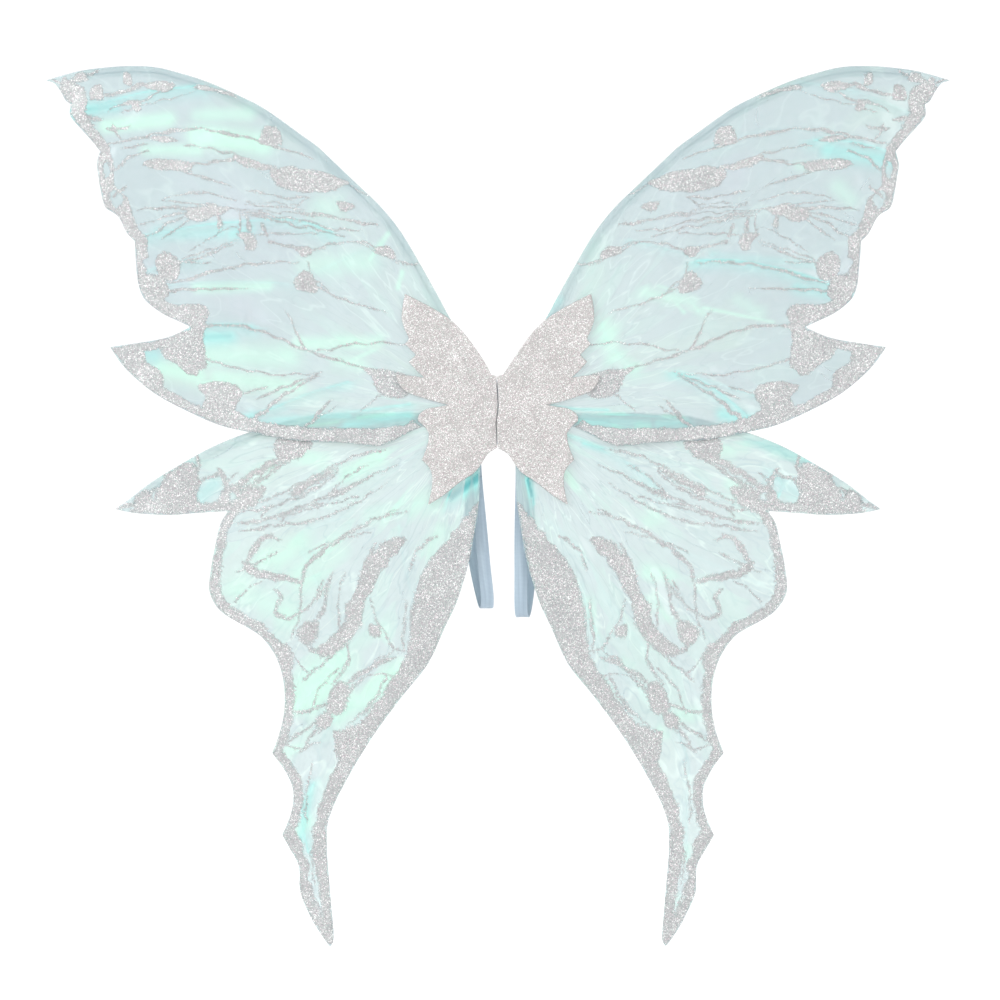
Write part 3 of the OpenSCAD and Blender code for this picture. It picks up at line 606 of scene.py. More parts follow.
def ring(width, thickness, corner, steps=4):
    """Rounded rectangle of [across, out] points, anticlockwise."""
    turn = np.linspace(0, np.pi / 2, steps)
    arcs = [(sx * (width / 2 - corner) + corner * np.cos(turn + q * np.pi / 2),
             sz * (thickness / 2 - corner) + corner * np.sin(turn + q * np.pi / 2))
            for q, (sx, sz) in enumerate([(1, 1), (-1, 1), (-1, -1), (1, -1)])]
    return np.concatenate([np.stack(arc, 1) for arc in arcs])


# ---- Materials ------------------------------------------------------------------------


def add(tree, kind, values=None, stops=None, **settings):
    """Adds a node. Settings are its properties; values are its inputs by name or number,
    each a constant, a socket that feeds it or a node whose first output does; and stops
    are a ramp's places and colours."""
    node = tree.nodes.new("ShaderNode" + kind)
    for key, value in settings.items():
        setattr(node, key, value)
    for key, value in (values or {}).items():
        if isinstance(value, bpy.types.Node):
            value = value.outputs[0]
        if isinstance(value, bpy.types.NodeSocket):
            tree.links.new(value, node.inputs[key])
        else:
            node.inputs[key].default_value = value
    for i, (position, colour) in enumerate(stops or []):
        points = node.color_ramp.elements
        point = points[i] if i < len(points) else points.new(position)
        point.position, point.color = position, colour
    return node


def material(name, recipe, *choices):
    """Node material: the recipe adds nodes to the tree and gives the values of its one
    Principled shader."""
    made = bpy.data.materials.new(name)
    made.use_nodes = True
    tree = made.node_tree
    tree.nodes.clear()
    shader = add(tree, "BsdfPrincipled", recipe(tree, *choices))
    add(tree, "OutputMaterial", {"Surface": shader.outputs["BSDF"]})
    return made


def paint(node, finish):
    """Gives a CAD node that keeps its shape its finish."""
    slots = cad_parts[node].data.materials
    slots.clear()
    slots.append(finish)


def iridescent_film(tree, s, opacity):
    """Polyester film with a vacuum-coated iridescent layer: clear, pale aqua that drifts
    to mint and lilac from one crushed facet to the next, teal where the film lies in two layers
    and as painted shade below fold crests, mint patches and pale crease lines of painted
    highlight, dark crease lines of painted shade, glossy."""
    mark = {key: add(tree, "Attribute", attribute_name=key).outputs["Fac"]
            for key in ("teal", "mint", "crush", "outward", "around", "sheet")}
    pulled = add(tree, "CombineXYZ", {0: mark["outward"], 1: mark["around"], 2: mark["sheet"]})
    wander = add(tree, "TexNoise", {"Vector": pulled, "Scale": 40.0, "Detail": 2.0})
    place = add(tree, "VectorMath", {0: wander.outputs["Color"], 1: (0.02, 0.02, 0.0),
                                     2: pulled}, operation="MULTIPLY_ADD")
    # Slow drift over about 70 mm, facets about 16 mm wide and creases 17 to 45 mm apart, all
    # three times as long outward as round
    drift = add(tree, "TexNoise", {"Vector": place, "Scale": 14.0, "Detail": 2.0})
    facets = add(tree, "TexVoronoi", {"Vector": place, "Scale": 62.0, "Smoothness": 0.2},
                 feature="SMOOTH_F1")
    facet = add(tree, "SeparateColor", {"Color": facets.outputs["Color"]}).outputs["Red"]
    swing = add(tree, "Math", {0: facet, 1: 0.5}, operation="SUBTRACT")
    swing = add(tree, "Math", {0: swing, 1: mark["crush"]}, operation="MULTIPLY")
    hue = add(tree, "Math", {0: swing, 1: 0.26, 2: drift}, operation="MULTIPLY_ADD")
    base = add(tree, "ValToRGB", {"Fac": hue}, stops=[
        (0.28, s.mint[:]), (0.42, s.aqua[:]), (0.56, s.aqua[:]), (0.74, s.lilac[:])])
    frosted = add(tree, "Math", {0: mark["crush"], 1: 0.65}, operation="MULTIPLY")
    colour = add(tree, "Mix", {0: frosted, 6: base, 7: s.frost[:]}, data_type="RGBA").outputs[2]
    lines = []
    # Crease lines: the first is painted highlight, the other two painted shade
    for scale, width, tone, strength in [(34.0, 0.020, s.crease_highlight, 0.45), (60.0, 0.03, s.shade, 0.3),
                                         (22.0, 0.010, s.shade, 0.5)]:
        field = add(tree, "TexNoise", {"Vector": place, "Scale": scale, "Detail": 2.5,
                                       "Roughness": 0.45})
        away = add(tree, "Math", {0: field, 1: 0.5}, operation="SUBTRACT")
        away = add(tree, "Math", {0: away}, operation="ABSOLUTE")
        line = add(tree, "MapRange", {"Value": away, 1: 0.0, 2: width, 3: strength,
                                      4: 0.0}, interpolation_type="SMOOTHSTEP")
        line = add(tree, "Math", {0: line, 1: mark["crush"]}, operation="MULTIPLY")
        colour = add(tree, "Mix", {0: line, 6: colour, 7: tone[:]}, data_type="RGBA").outputs[2]
        lines.append(line)
    # Mint patches of painted highlight, broken up by the facets
    mint_highlight = add(tree, "Math", {0: swing, 1: 0.5, 2: mark["mint"]}, operation="MULTIPLY_ADD")
    colour = add(tree, "Mix", {0: mint_highlight, 6: colour, 7: s.sheen[:]}, data_type="RGBA").outputs[2]
    # Teal: painted fold shade below the crests, darkest on the crest line, and the tint of film in two
    # or more layers
    deep = add(tree, "ValToRGB", {"Fac": mark["teal"]},
               stops=[(0.3, s.teal[:]), (0.72, s.teal[:]), (1.0, s.deep_teal[:])])
    broken = add(tree, "Math", {0: swing, 1: 0.9, 2: 0.85}, operation="MULTIPLY_ADD")
    doubled_and_shaded = add(tree, "Math", {0: mark["teal"], 1: broken}, operation="MULTIPLY")
    colour = add(tree, "Mix", {0: doubled_and_shaded, 6: colour, 7: deep}, data_type="RGBA").outputs[2]
    crinkle = add(tree, "TexNoise", {"Vector": pulled, "Scale": 320.0, "Detail": 2.0})
    height = add(tree, "Math", {0: crinkle, 1: 0.2, 2: facets}, operation="MULTIPLY_ADD")
    height = add(tree, "Math", {0: lines[0], 1: 0.5, 2: height}, operation="MULTIPLY_ADD")
    bump = add(tree, "Bump", {"Strength": 0.5, "Distance": 0.0016, "Height": height})
    cover = add(tree, "Math", {0: doubled_and_shaded, 1: 0.3, 2: opacity}, operation="MULTIPLY_ADD")
    return {"Base Color": colour, "Roughness": 0.26, "IOR": 1.6, "Coat Weight": 0.6,
            "Coat Roughness": 0.12, "Coat IOR": 1.7, "Alpha": cover,
            "Normal": bump}


def silver_glitter(tree, s, flake_mm, printed):
    """Cut silver polyester flakes in clear glue: each flake has its own tilt and a painted
    brightness that stands for how it catches the light, a few are tinted pink or green, and
    a print thins out at its edges. Real flakes are 0.2 to 0.4 mm, too fine to show, so these
    are drawn coarser."""
    place = add(tree, "TexCoord").outputs["Object"]
    flakes = add(tree, "TexVoronoi", {"Vector": place, "Scale": 1 / (flake_mm * MM)})
    chance = add(tree, "SeparateColor", {"Color": flakes.outputs["Color"]})
    cloud = add(tree, "TexNoise", {"Vector": place, "Scale": 45.0, "Detail": 2.0})
    # Painted glints and shade: each flake's brightness, with a slow cloud over it
    lit = add(tree, "Math", {0: cloud, 1: 0.25, 2: chance.outputs["Red"]},
              operation="MULTIPLY_ADD")
    tones = (s.print_dark, s.print_middle) if printed else (s.dark, s.middle)
    grey = add(tree, "ValToRGB", {"Fac": lit}, stops=[
        (0.10, tones[0][:]), (0.45, tones[1][:]), (0.92, tones[1][:]), (1.12, s.bright[:])])
    tint = add(tree, "ValToRGB", {"Fac": chance.outputs["Green"]}, stops=[
        (0.0, linear("cfe2da")), (0.3, linear("ffffff")), (0.7, linear("ffffff")),
        (1.0, linear("ecd6de"))])
    colour = add(tree, "Mix", {0: 1.0, 6: grey, 7: tint},
                 data_type="RGBA", blend_type="MULTIPLY").outputs[2]
    bump = add(tree, "Bump", {"Strength": 0.4, "Distance": flake_mm * MM * 0.25,
                              "Height": chance.outputs["Green"]})
    values = {"Base Color": colour, "Metallic": 0.25, "Roughness": 0.55, "Normal": bump}
    if printed:
        inset = add(tree, "Attribute", attribute_name="inset").outputs["Fac"]
        patchy = add(tree, "TexNoise", {"Vector": place, "Scale": 110.0, "Detail": 2.0})
        dense = add(tree, "Math", {0: patchy, 1: 0.9, 2: -0.25}, operation="MULTIPLY_ADD")
        dense = add(tree, "Math", {0: inset, 1: 1.25, 2: dense}, operation="MULTIPLY_ADD")
        lies = add(tree, "Math", {0: dense, 1: chance.outputs["Blue"]}, operation="GREATER_THAN")
        values["Alpha"] = add(tree, "MapRange", {"Value": lies, 3: 0.08, 4: 0.9})
    return values


def woven(tree, colour, pale, thread_mm, rib_mm, rough):
    """Woven elastic: ribs across it every rib_mm and threads along it every thread_mm, on
    the piece's own UV in metres, with painted shade on the sunken threads and painted shade
    and highlight in streaks along it. Real threads are about half a millimetre apart, too
    fine to show, so they are drawn coarser."""
    uv = add(tree, "UVMap", uv_map="Cloth").outputs["UV"]
    ribs = add(tree, "TexWave", {"Vector": uv, "Scale": 0.314 / (rib_mm * MM),
                                 "Distortion": 0.4, "Detail": 1.0, "Detail Scale": 3.0},
               wave_type="BANDS", bands_direction="X")
    threads = add(tree, "TexWave", {"Vector": uv, "Scale": 0.314 / (thread_mm * MM)},
                  wave_type="BANDS", bands_direction="Y")
    weave = add(tree, "Math", {0: threads.outputs["Fac"], 1: 0.8, 2: ribs.outputs["Fac"]},
                operation="MULTIPLY_ADD")
    faint = add(tree, "Math", {0: weave, 1: 0.35}, operation="MULTIPLY")
    # Painted shade and highlight in streaks along the elastic
    stretched = add(tree, "Mapping", {"Vector": uv, "Scale": (12.0, 260.0, 1.0)})
    painted_streaks = add(tree, "TexNoise", {"Vector": stretched, "Scale": 1.0, "Detail": 3.0})
    shade = add(tree, "Math", {0: painted_streaks, 1: 1.6, 2: faint}, operation="MULTIPLY_ADD")
    tone = add(tree, "ValToRGB", {"Fac": add(tree, "Math", {0: shade, 1: 0.5},
                                             operation="MULTIPLY")},
               stops=[(0.15, colour), (0.85, pale)])
    bump = add(tree, "Bump", {"Strength": 0.6, "Distance": 0.0004, "Height": weave})
    return {"Base Color": tone, "Roughness": rough, "Sheen Weight": 0.3,
            "Sheen Roughness": 0.5, "Normal": bump}


def felted(tree, colour, pale, fibre_mm):
    """Pressed or brushed synthetic fibre: matt, with a soft sheen and faint mottling. One
    fibre is too fine to show, so tufts of fibre_mm are drawn."""
    place = add(tree, "TexCoord").outputs["Object"]
    fibres = add(tree, "TexNoise", {"Vector": place, "Scale": 1 / (fibre_mm * MM),
                                    "Detail": 4.0, "Distortion": 1.5})
    mottle = add(tree, "TexNoise", {"Vector": place, "Scale": 70.0, "Detail": 2.0})
    mixed = add(tree, "Math", {0: fibres, 1: 0.6, 2: mottle}, operation="MULTIPLY_ADD")
    tone = add(tree, "ValToRGB", {"Fac": mixed}, stops=[(0.6, colour), (1.0, pale)])
    bump = add(tree, "Bump", {"Strength": 0.5, "Distance": 0.0004, "Height": fibres})
    return {"Base Color": tone, "Roughness": 0.9, "Sheen Weight": 0.4,
            "Sheen Roughness": 0.6, "Normal": bump}


def foamed(tree, colour, pale, cell_mm):
    """Closed-cell EVA foam: matt with a fine open grain where it was cut. Its cells are
    too fine to show, so they are drawn cell_mm wide."""
    place = add(tree, "TexCoord").outputs["Object"]
    cells = add(tree, "TexVoronoi", {"Vector": place, "Scale": 1 / (cell_mm * MM)})
    tone = add(tree, "ValToRGB", {"Fac": cells}, stops=[(0.1, colour), (0.7, pale)])
    bump = add(tree, "Bump", {"Strength": 0.3, "Distance": 0.0003, "Height": cells})
    return {"Base Color": tone, "Roughness": 0.75, "Normal": bump}


def drawn_steel(tree, colour):
    """Drawn spring wire, bright zinc plated: metal with faint streaks along it."""
    place = add(tree, "TexCoord").outputs["Object"]
    streaks = add(tree, "TexNoise", {"Vector": place, "Scale": 900.0, "Detail": 2.0})
    rough = add(tree, "MapRange", {"Value": streaks, 3: 0.28, 4: 0.45})
    return {"Base Color": colour, "Metallic": 1.0, "Roughness": rough}


def moulded_vinyl(tree, colour, pale):
    """Dip-moulded soft PVC: smooth, slightly mottled, satin."""
    place = add(tree, "TexCoord").outputs["Object"]
    cloud = add(tree, "TexNoise", {"Vector": place, "Scale": 300.0, "Detail": 2.0})
    tone = add(tree, "ValToRGB", {"Fac": cloud}, stops=[(0.3, colour), (0.7, pale)])
    bump = add(tree, "Bump", {"Strength": 0.1, "Distance": 0.0002, "Height": cloud})
    return {"Base Color": tone, "Roughness": 0.4, "IOR": 1.53, "Normal": bump}


def pale_sweep(tree, colour):
    """Matt painted studio sweep with a barely visible roller texture."""
    place = add(tree, "TexCoord").outputs["Object"]
    roller = add(tree, "TexNoise", {"Vector": place, "Scale": 60.0, "Detail": 2.0})
    bump = add(tree, "Bump", {"Strength": 0.05, "Distance": 0.0005, "Height": roller})
    return {"Base Color": colour, "Roughness": 0.9, "Normal": bump}


# ---- Sizes and colours ------------------------------------------------------------------


def size_of(name, description, default):
    """A length in metres that a user may change."""
    return bpy.props.FloatProperty(name=name, description=description, default=default,
                                   unit="LENGTH", precision=5)


def colour_of(name, description, code):
    """A colour that a user may change, from its sRGB hex code."""
    return bpy.props.FloatVectorProperty(name=name, description=description, size=4,
                                         subtype="COLOR", min=0, max=1, default=linear(code))


class WingFilmSettings(bpy.types.PropertyGroup):
    grid: size_of("Grid", "Spacing of the film's mesh", 0.0015)
    thickness: size_of("Thickness", "Thickness of one film", 0.00015)
    wave: size_of("Wave", "Height of the slow waves in the film", 0.0022)
    overlap: size_of("Overlap", "How far the upper film stands off the lower one", 0.0012)
    opacity: bpy.props.FloatProperty(name="Opacity", default=0.50, min=0, max=1,
                                     description="Share of light that one face stops")
    aqua: colour_of("Aqua", "Most of the film", "92a9af")
    mint: colour_of("Mint", "Where the coating is thinnest", "9ab9b2")
    lilac: colour_of("Lilac", "Where the coating is thickest", "9ba8b4")
    frost: colour_of("Frost", "Film crushed into small facets", "b8cccb")
    # Painted highlight: the colour of the bright mint patches
    sheen: colour_of("Sheen", "Bright mint patches", "a8dfc9")
    # Painted highlight along the pale creases
    crease_highlight: colour_of("Glint", "Pale creases", "cfe6df")
    shade: colour_of("Shade", "Creases turned away from the light", "86a3aa")
    # Teal and deep teal: the tint of film in two or more layers, painted shade below the fold crests
    # and painted shadow on them
    teal: colour_of("Teal", "Doubled film", "90d8d4")
    deep_teal: colour_of("Deep teal", "Film gathered in several layers", "46a0a3")


class WingGlitterSettings(bpy.types.PropertyGroup):
    grid: size_of("Grid", "Spacing of the print's mesh", 0.00112)
    thickness: size_of("Thickness", "Thickness of the glue and flakes", 0.0002)
    ragged: size_of("Ragged", "How uneven the print's edge is", 0.0005)
    spray: size_of("Spray", "How far loose flakes lie outside the print", 0.0005)
    thinned: size_of("Thinned", "How much thinner the veins are than the frame's", 0.00055)
    dark: colour_of("Dark", "Flakes turned away from the light", "9a9898")
    middle: colour_of("Middle", "Most flakes", "b3b0af")
    print_dark: colour_of("Print, dark", "Printed flakes turned away from the light", "9c9fa1")
    print_middle: colour_of("Print", "Most printed flakes", "b2b4b5")
    bright: colour_of("Bright", "Flakes that catch the light", "f0f0f0")


class WingCoverSettings(bpy.types.PropertyGroup):
    grid: size_of("Grid", "Spacing of the butterfly's mesh", 0.001)
    curl: size_of("Curl", "How far the lobes curl forward", 0.0022)
    rim: size_of("Rim", "Radius of the skin's rolled rim", 0.0008)
    foam: colour_of("Foam", "Foam of the butterfly", "d9dbdb")
    felt: colour_of("Felt", "Felt on the wearer's side", "d3dde4")


class WingHarnessSettings(bpy.types.PropertyGroup):
    strap_width: size_of("Strap width", "Width of the elastic", 0.013)
    strap_thickness: size_of("Strap thickness", "Thickness of the elastic", 0.0012)
    elastic: colour_of("Elastic", "Shaded threads of the elastic", "7b90a3")
    elastic_pale: colour_of("Elastic, pale", "Raised threads of the elastic", "b7c7d3")
    pad: colour_of("Pad", "Cloth of the back pad", "cfdbe4")


class WingStageSettings(bpy.types.PropertyGroup):
    floor: size_of("Floor", "Height of the floor", -0.60)
    sky: bpy.props.FloatProperty(name="Sky", default=1.08, min=0,
                                 description="Brightness of the even light all round")
    sweep: colour_of("Sweep", "Paint of the studio sweep", "fafafa")


# ---- Pieces -------------------------------------------------------------------------------


def settle(piece, finish, body, slot, *nodes):
    """Gives a piece its finish and the body it rides on, and hides the frame's nodes that it
    stands for. The slot is not used. The body is None for a piece that is left where it
    stands, such as the arm loops' stiff ends."""
    piece.data.materials.append(finish)
    if body:
        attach(piece, body)
    if nodes:
        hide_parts(*nodes)


class WINGS_OT_stage(bpy.types.Operator):
    """Pale round sweep, camera, even sky and three soft lights"""

    bl_idname = "wings.stage"
    bl_label = "Stage"

    def execute(self, context):
        s, scene = context.scene.wing_stage, context.scene
        camera = bpy.data.objects.new("Camera", bpy.data.cameras.new("Camera"))
        scene.collection.objects.link(camera)
        # Far enough for the lens to take in 1 m at 3 mm behind the front of the butterfly
        camera.data.lens, camera.data.sensor_width = LENS_MM, SENSOR_MM
        camera.location = (EYE_X, COVER_Y + 0.003 - LENS_MM / SENSOR_MM, EYE_Z)
        camera.rotation_euler = (np.pi / 2, 0, 0)
        scene.camera = camera
        scene.view_settings.view_transform = "Standard"
        # Dish: flat to 4 m from the middle, then a quarter circle of 1.8 m radius, then
        # straight up to 3.6 m
        turn = np.linspace(0, 2 * np.pi, SPOKES + 1)[:-1]
        up = np.linspace(0, np.pi / 2, 13)
        radius = np.concatenate([[0.5, 1, 2, 3], 4 + 1.8 * np.sin(up), [5.8]])
        height = np.concatenate([[0, 0, 0, 0], 1.8 * (1 - np.cos(up)), [3.6]]) + s.floor
        points = np.stack([np.outer(radius, np.cos(turn)), np.outer(radius, np.sin(turn)),
                           np.repeat(height, SPOKES).reshape(-1, SPOKES)], -1).reshape(-1, 3)
        # The last face of the tube would close the top of the dish
        faces = [face[::-1] for face in tube(len(radius), SPOKES)[:-1]]
        dish = new_piece("sweep", points, faces)
        dish.data.materials.append(material("Painted sweep", pale_sweep, s.sweep[:]))
        world = bpy.data.worlds.new("Sky")
        world.use_nodes = True
        world.node_tree.nodes["Background"].inputs["Strength"].default_value = s.sky
        world.node_tree.nodes["Background"].inputs["Color"].default_value = (1, 1, 1, 1)
        scene.world = world
        for name, spot, size, power in [("key", (-2.0, -1.7, 1.7), 1.6, 55),
                                        ("fill", (1.9, -2.2, 0.7), 1.4, 12),
                                        ("back", (0.9, 2.0, 1.8), 1.2, 20)]:
            lamp = bpy.data.objects.new(name, bpy.data.lights.new(name, "AREA"))
            scene.collection.objects.link(lamp)
            lamp.data.size, lamp.data.energy = size, power
            lamp.location = spot
            lamp.visible_camera = False
            aim = -lamp.location
            lamp.rotation_euler = aim.to_track_quat("-Z", "Y").to_euler()
        return {"FINISHED"}


class WINGS_OT_films(bpy.types.Operator):
    """The four crumpled panels of iridescent film"""

    bl_idname = "wings.films"
    bl_label = "Films"

    def execute(self, context):
        s = context.scene.wing_film
        finish = material("Iridescent film", iridescent_film, s, s.opacity)
        for pair in PAIRS:
            border = BORDERS[pair]
            points, triangles = sampled(border, s.grid)
            for side, mirror in SIDES.items():
                y = film_y(points, pair, side, s)
                marks = film_marks(points, pair, side)
                name = f"{pair}_film_panel_{side}"
                panel = closed_sheet(name, points, triangles, y, y + s.thickness, mirror, marks)
                settle(panel, finish, "wing_" + side, "film", f"{pair}_film_{side}")
        return {"FINISHED"}


class WINGS_OT_prints(bpy.types.Operator):
    """Veins, patches and edge borders of silver glitter printed on the films"""

    bl_idname = "wings.prints"
    bl_label = "Prints"

    def execute(self, context):
        s, film = context.scene.wing_glitter, context.scene.wing_film
        finish = material("Printed glitter", silver_glitter, s, 0.7, True)
        for pair, softer in zip(PAIRS, (1.0, 1.6)):
            border = node_border(pair + "_print_right")

            def gap(points):
                """Distance from the print after the points are shifted by slow and fine
                ripples, which makes its outlines irregular. Away from the film's edge the
                print is thinner than the frame's, so its veins come out fine."""
                shift = [0.0009 * ripple(points, 0.018, 40 + k)
                         + 0.0004 * ripple(points, 0.005, 50 + k) for k in (0, 1)]
                moved = points + np.stack(shift, 1)
                rim = signed_distance(points, BORDERS[pair])
                nearest = signed_distance(moved, border) + s.thinned * ramp(-rim, 0.002, 0.006)
                for line, half_mm in FINE_VEINS[pair]:
                    away, along = line_field(moved, line)
                    taper = 0.35 + 0.65 * np.sin(np.pi * np.clip(along, 0.02, 0.98)) ** 0.5
                    nearest = np.minimum(nearest, np.abs(away) - 0.5 * half_mm * MM * taper)
                return np.maximum(nearest, rim + PRINT_INSET)

            def field(points):
                uneven = ripple(points, 0.0035, 5, 12) + 0.6 * ripple(points, 0.0018, 6, 12)
                inside = signed_distance(points, BORDERS[pair]) + PRINT_INSET
                return np.maximum(gap(points) + softer * (s.ragged * uneven - s.spray), inside)

            points, triangles = sampled(border, s.grid, field)
            inset = np.clip((softer * s.spray - gap(points)) / (softer * PRINT_FADE), 0, 1)
            for side, mirror in SIDES.items():
                y = film_y(points, pair, side, film) - PRINT_GAP
                glitter = closed_sheet(f"{pair}_glitter_print_{side}", points, triangles,
                                       y - s.thickness, y, mirror, {"inset": inset})
                settle(glitter, finish, "wing_" + side, "print", f"{pair}_print_{side}")
        return {"FINISHED"}


class WINGS_OT_hems(bpy.types.Operator):
    """Film folded back over the wires along the leading edges, wires and their caps"""

    bl_idname = "wings.hems"
    bl_label = "Hems and wires"

    def execute(self, context):
        s = context.scene.wing_film
        finish = material("Iridescent film, folded", iridescent_film, s, 0.28 * s.opacity)
        steel = material("Plated spring wire", drawn_steel, linear("c9cdd0"))
        vinyl = material("Dip-moulded vinyl", moulded_vinyl, linear("dfe5e8"), linear("eef2f4"))
        for pair in PAIRS:
            low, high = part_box(pair + "_hem_right")
            lead = LEADS[pair]
            lead = lead[(lead[:, 0] > low.x) & (lead[:, 0] < high.x - 0.001)]
            lead, run = even_path(lead, 0.002)
            ahead = unit(np.gradient(lead, axis=0))
            inward = np.stack([ahead[:, 1], 0 * run, -ahead[:, 0]], 1)
            path = np.stack([lead[:, 0], 0 * run + FILM_Y[pair] + s.thickness, lead[:, 1]], 1)
            out = np.tile([0.0, 1.0, 0.0], (len(run), 1))
            # Across the flap v goes from 0 to 1; it arches over the wire as a power of a
            # sine and lies flat from 0.82 on
            v = np.linspace(0, 1, 15)
            width = (HEM_WIDTH + 0.0004 * np.sin(run * 260) * ramp(run, 0, 0.02))[:, None]
            for side, mirror in SIDES.items():
                seed = 3 if side == "right" else 8
                pucker = 1 + 0.10 * ripple(np.stack([run, 0 * run], 1), 0.014, seed)[:, None]
                hump = (HEM_HEIGHT * pucker * np.sin(np.pi * np.clip(v / 0.82, 0, 1)) ** 0.8)
                end = ramp(run, -0.002, 0.018)[:, None] * ramp(run[-1] - run, -0.001, 0.03)[:, None]
                under = np.stack([v * width, HEM_GAP + hump * end], -1)
                outer = under + [0, s.thickness]
                section = np.concatenate([under, outer[:, ::-1]], 1)
                spots = np.repeat(lead, section.shape[1], axis=0)
                marks = film_marks(spots, pair, side)
                marks["teal"] = 0.16 + 0.3 * np.clip(ripple(spots, 0.05, seed), 0, 1)
                # A little painted highlight all along the hem
                marks["mint"] = np.full(len(spots), 0.15)
                hem = swept(f"{pair}_hem_fold_{side}", path, inward, out, section, mirror, marks)
                settle(hem, finish, "wing_" + side, "film", f"{pair}_hem_{side}")
                paint(f"{pair}_wire_{side}", steel)
                paint(f"{pair}_wire_cap_{side}", vinyl)
        return {"FINISHED"}


class WINGS_OT_butterfly(bpy.types.Operator):
    """Glitter skin and foam of the butterfly over the roots of the wings"""

    bl_idname = "wings.butterfly"
    bl_label = "Butterfly"

    def execute(self, context):
        s, glitter = context.scene.wing_cover, context.scene.wing_glitter
        skin_finish = material("Glitter cloth", silver_glitter, glitter, 0.55, False)
        foam_finish = material("Cut EVA foam", foamed, s.foam[:], linear("eceeee"), 0.5)
        points, triangles = sampled(COVER_BORDER, s.grid)
        roll = rolled(points, COVER_BORDER, s.rim)
        # The seam closes to a fine gap and winds a little from one side to the other
        near = 1 - ramp(points[:, 0], 0.001, 0.014)
        winding = np.interp(points[:, 1], *np.array([SEAM_HEIGHTS, SEAM_SHIFTS]) * MM)
        cut = points
        for side, mirror in SIDES.items():
            points = cut.copy()
            points[:, 0] += (mirror * winding - SEAM_GAP) * near
            seed = 31 if side == "right" else 37
            curl = s.curl * ramp(points[:, 0], 0.035, 0.11)
            curl *= 0.7 + 0.5 * ripple(points, 0.07, seed)
            curl += 0.0004 * ripple(points, 0.025, seed + 1) * ramp(points[:, 0], 0.01, 0.03)
            for line, height_mm, width_mm in COVER_FOLDS[side]:
                gap, along = line_field(points, line)
                slope = np.where(gap < 0, 0.35, 1.0) * width_mm * MM
                curl += height_mm * MM * np.exp(-(gap / slope) ** 2) * np.sin(np.pi * along)
            front = COVER_Y - curl + roll
            back = np.maximum(COVER_Y + SKIN - curl, front + 0.0002)
            skin = closed_sheet("butterfly_skin_" + side, points, triangles, front, back, mirror)
            settle(skin, skin_finish, "wing_" + side, "glitter", "cover_glitter_" + side)
            foam = closed_sheet("butterfly_foam_" + side, points, triangles, back,
                                np.maximum(FOAM_BACK_Y - 0.0002 - np.clip(curl, 0, None),
                                           back + 0.0003), mirror)
            settle(foam, foam_finish, "wing_" + side, "foam", "cover_foam_" + side)
        return {"FINISHED"}


class WINGS_OT_boards(bpy.types.Operator):
    """Felt backing boards, pad base, tapes over the roots and the spine web"""

    bl_idname = "wings.boards"
    bl_label = "Boards and tapes"

    def execute(self, context):
        s = context.scene.wing_cover
        felt = material("Pressed felt", felted, s.felt[:], linear("e9eff3"), 0.35)
        tape = material("Clear vinyl tape", moulded_vinyl, linear("d7e4e8"), linear("eaf3f5"))
        cloth = material("Web of felt", felted, linear("8b9297"), linear("a6adb2"), 0.3)
        for node, body in [*(("backing_" + side, "wing_" + side) for side in SIDES),
                           ("pad_base", "harness")]:
            low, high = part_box(node)
            border = node_border(node)
            points, triangles = sampled(border, BOARD_GRID)
            roll = rolled(points, border, 0.4 * (high.y - low.y))
            board = closed_sheet(node + "_board", points, triangles, low.y + roll, high.y - roll)
            settle(board, felt, body, "board", node)
        for side in SIDES:
            paint("root_tape_" + side, tape)
        paint("spine_web", cloth)
        return {"FINISHED"}


class WINGS_OT_pad(bpy.types.Operator):
    """Back pad of cloth over foam, with a bound edge and a row of stitches"""

    bl_idname = "wings.pad"
    bl_label = "Back pad"

    def execute(self, context):
        s = context.scene.wing_harness
        cloth = material("Brushed knit", felted, s.pad[:], linear("e8f0f5"), 0.4)
        thread = material("Sewing thread", felted, linear("e3eaef"), linear("ffffff"), 0.2)
        low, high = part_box("back_pad")
        half = np.array([high.x - low.x, high.z - low.z]) / 2
        middle = np.array([high.x + low.x, high.z + low.z]) / 2
        thick = high.y - low.y
        # Outline: |x| and |z| to the power PAD_SQUARE add up to 1, stretched to the pad's
        # size. The dome is the square root of 1 - share^5, where share is the way out
        turn = np.linspace(0, 2 * np.pi, 161)[:-1]
        outline = np.stack([np.cos(turn), np.sin(turn)], 1)
        outline /= (np.abs(outline) ** PAD_SQUARE).sum(axis=1, keepdims=True) ** (1 / PAD_SQUARE)
        share = np.concatenate([[0.02], np.linspace(0.08, 0.9, 22), 0.9 + 0.1 * np.sin(
            np.linspace(0, np.pi / 2, 9)[1:])])
        dome = np.clip(1 - share ** 5, 0, 1) ** 0.5
        seam_at, seam_width, seam_depth = PAD_SEAM
        seam = seam_depth * np.exp(-((share - seam_at) / seam_width) ** 2)
        back_y = low.y + thick * (PAD_EDGE + (1 - PAD_EDGE) * dome) - seam
        front_y = low.y + thick * PAD_EDGE * (1 - dome ** 0.5)
        rings = []
        for y, k in [*zip(back_y, share), *list(zip(front_y, share))[::-1]]:
            edge = middle + outline * half * k
            rings.append(np.stack([edge[:, 0], 0 * turn + y, edge[:, 1]], 1))
        pad = new_piece("padded_back", np.concatenate(rings), tube(len(rings), len(turn)))
        settle(pad, cloth, "harness", "pad", "back_pad")
        # The stitches lie on the dome, a little above the bottom of the seam
        path = middle + outline * half * seam_at
        y = low.y + thick * (PAD_EDGE + (1 - PAD_EDGE) * (1 - seam_at ** 5) ** 0.5) - 0.0008
        row = np.stack([path[:, 0], 0 * turn + y, path[:, 1]], 1)
        stitches = stitch_row("pad_stitches", np.vstack([row, row[:1]]))
        settle(stitches, thread, "harness", "pad")
        return {"FINISHED"}


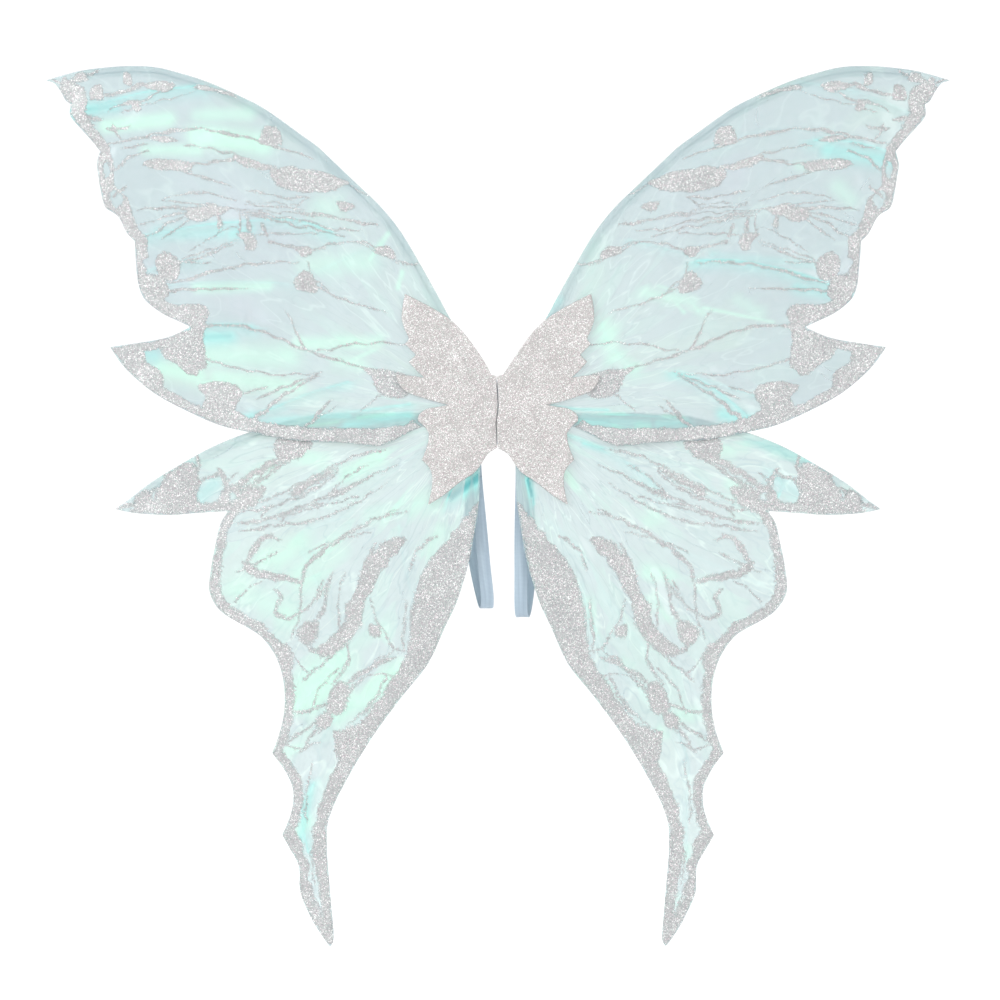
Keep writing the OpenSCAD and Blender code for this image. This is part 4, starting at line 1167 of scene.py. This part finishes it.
def stitch_row(name, path):
    """Row of stitches along a path in the pad's plane: each is an ellipsoid of 6 by 5
    points, three quarters of the pitch long, lying along the path."""
    at, _ = even_path(path, STITCH_PITCH)
    middle, ahead = (at[1:] + at[:-1]) / 2, unit(at[1:] - at[:-1])
    out = np.array([0.0, 1.0, 0.0])
    across = np.cross(ahead, out)
    turn = np.arange(6) * np.pi / 3
    lift = np.linspace(-1, 1, 5) * 0.97
    along = (lift * 0.37 * STITCH_PITCH)[None, :, None, None]
    radius = (np.sqrt(1 - lift ** 2) * STITCH_RADIUS)[None, :, None, None]
    points = (middle[:, None, None] + ahead[:, None, None] * along
              + across[:, None, None] * radius * np.cos(turn)[None, None, :, None]
              + out * radius * np.sin(turn)[None, None, :, None])
    one = tube(5, 6)
    faces = [[corner + start for corner in face]
             for start in range(0, 30 * len(middle), 30) for face in one]
    return new_piece(name, points.reshape(-1, 3), faces)


class WINGS_OT_loops(bpy.types.Operator):
    """Ribbed elastic arm loops, with stiff sewn ends at the pad"""

    bl_idname = "wings.loops"
    bl_label = "Arm loops"

    def execute(self, context):
        s = context.scene.wing_harness
        elastic = material("Ribbed elastic", woven, s.elastic[:], s.elastic_pale[:], 0.9, 1.3, 0.7)
        section = ring(s.strap_width, s.strap_thickness, 0.00055)
        for side in SIDES:
            route = smooth_path(np.array(LOOP_ROUTES[side], float) * MM, 10)
            x0 = LOOP_ROUTES[side][0][0] * MM
            foot = np.array([[x0, SEWN_Y, -SEWN_Z]])
            head = np.array([[x0, SEWN_Y, SEWN_Z]])
            path, run = even_path(np.vstack([foot, route, head]), 0.002)
            ahead = unit(np.gradient(path, axis=0))
            across = np.tile([1.0, 0.0, 0.0], (len(path), 1))
            across = unit(across - ahead * (across * ahead).sum(axis=1, keepdims=True))
            out = np.cross(ahead, across)
            low_end = int(np.argmax(run > STIFF_ENDS[0]))
            high_end = int(np.argmax(run > run[-1] - STIFF_ENDS[1]))
            for part, span in [("foot", slice(0, low_end + 1)),
                               ("loop", slice(low_end, high_end + 1)),
                               ("head", slice(high_end, len(path)))]:
                piece = swept(f"elastic_{part}_{side}", path[span], across[span], out[span],
                              section, start=run[span][0])
                if part == "loop":
                    settle(piece, elastic, "strap_" + side, "elastic", "strap_" + side)
                    continue
                settle(piece, elastic, None, "elastic", "strap_tabs_" + side)
                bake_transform(piece)
        return {"FINISHED"}


class WINGS_PT_panel(bpy.types.Panel):
    """Buttons for each group of pieces, and their sizes and colours"""

    bl_idname = "WINGS_PT_panel"
    bl_label = "Fairy wings"
    bl_space_type = "VIEW_3D"
    bl_region_type = "UI"
    bl_category = "Wings"

    def draw(self, context):
        for operator in OPERATORS:
            self.layout.operator(operator.bl_idname)
        for group in GROUPS:
            box = self.layout.box()
            for key in GROUPS[group].__annotations__:
                box.prop(getattr(context.scene, group), key)


GROUPS = {
    "wing_stage": WingStageSettings,
    "wing_film": WingFilmSettings,
    "wing_glitter": WingGlitterSettings,
    "wing_cover": WingCoverSettings,
    "wing_harness": WingHarnessSettings,
}
OPERATORS = [WINGS_OT_stage, WINGS_OT_films, WINGS_OT_prints, WINGS_OT_hems,
             WINGS_OT_butterfly, WINGS_OT_boards, WINGS_OT_pad, WINGS_OT_loops]


def register():
    for kind in [*GROUPS.values(), *OPERATORS, WINGS_PT_panel]:
        bpy.utils.register_class(kind)
    for group, kind in GROUPS.items():
        setattr(bpy.types.Scene, group, bpy.props.PointerProperty(type=kind))


def unregister():
    for group in GROUPS:
        delattr(bpy.types.Scene, group)
    for kind in [WINGS_PT_panel, *OPERATORS[::-1], *list(GROUPS.values())[::-1]]:
        bpy.utils.unregister_class(kind)


def main():
    register()
    for operator in OPERATORS:
        getattr(bpy.ops.wings, operator.bl_idname.split(".")[1])()


if __name__ == "__main__":
    main()
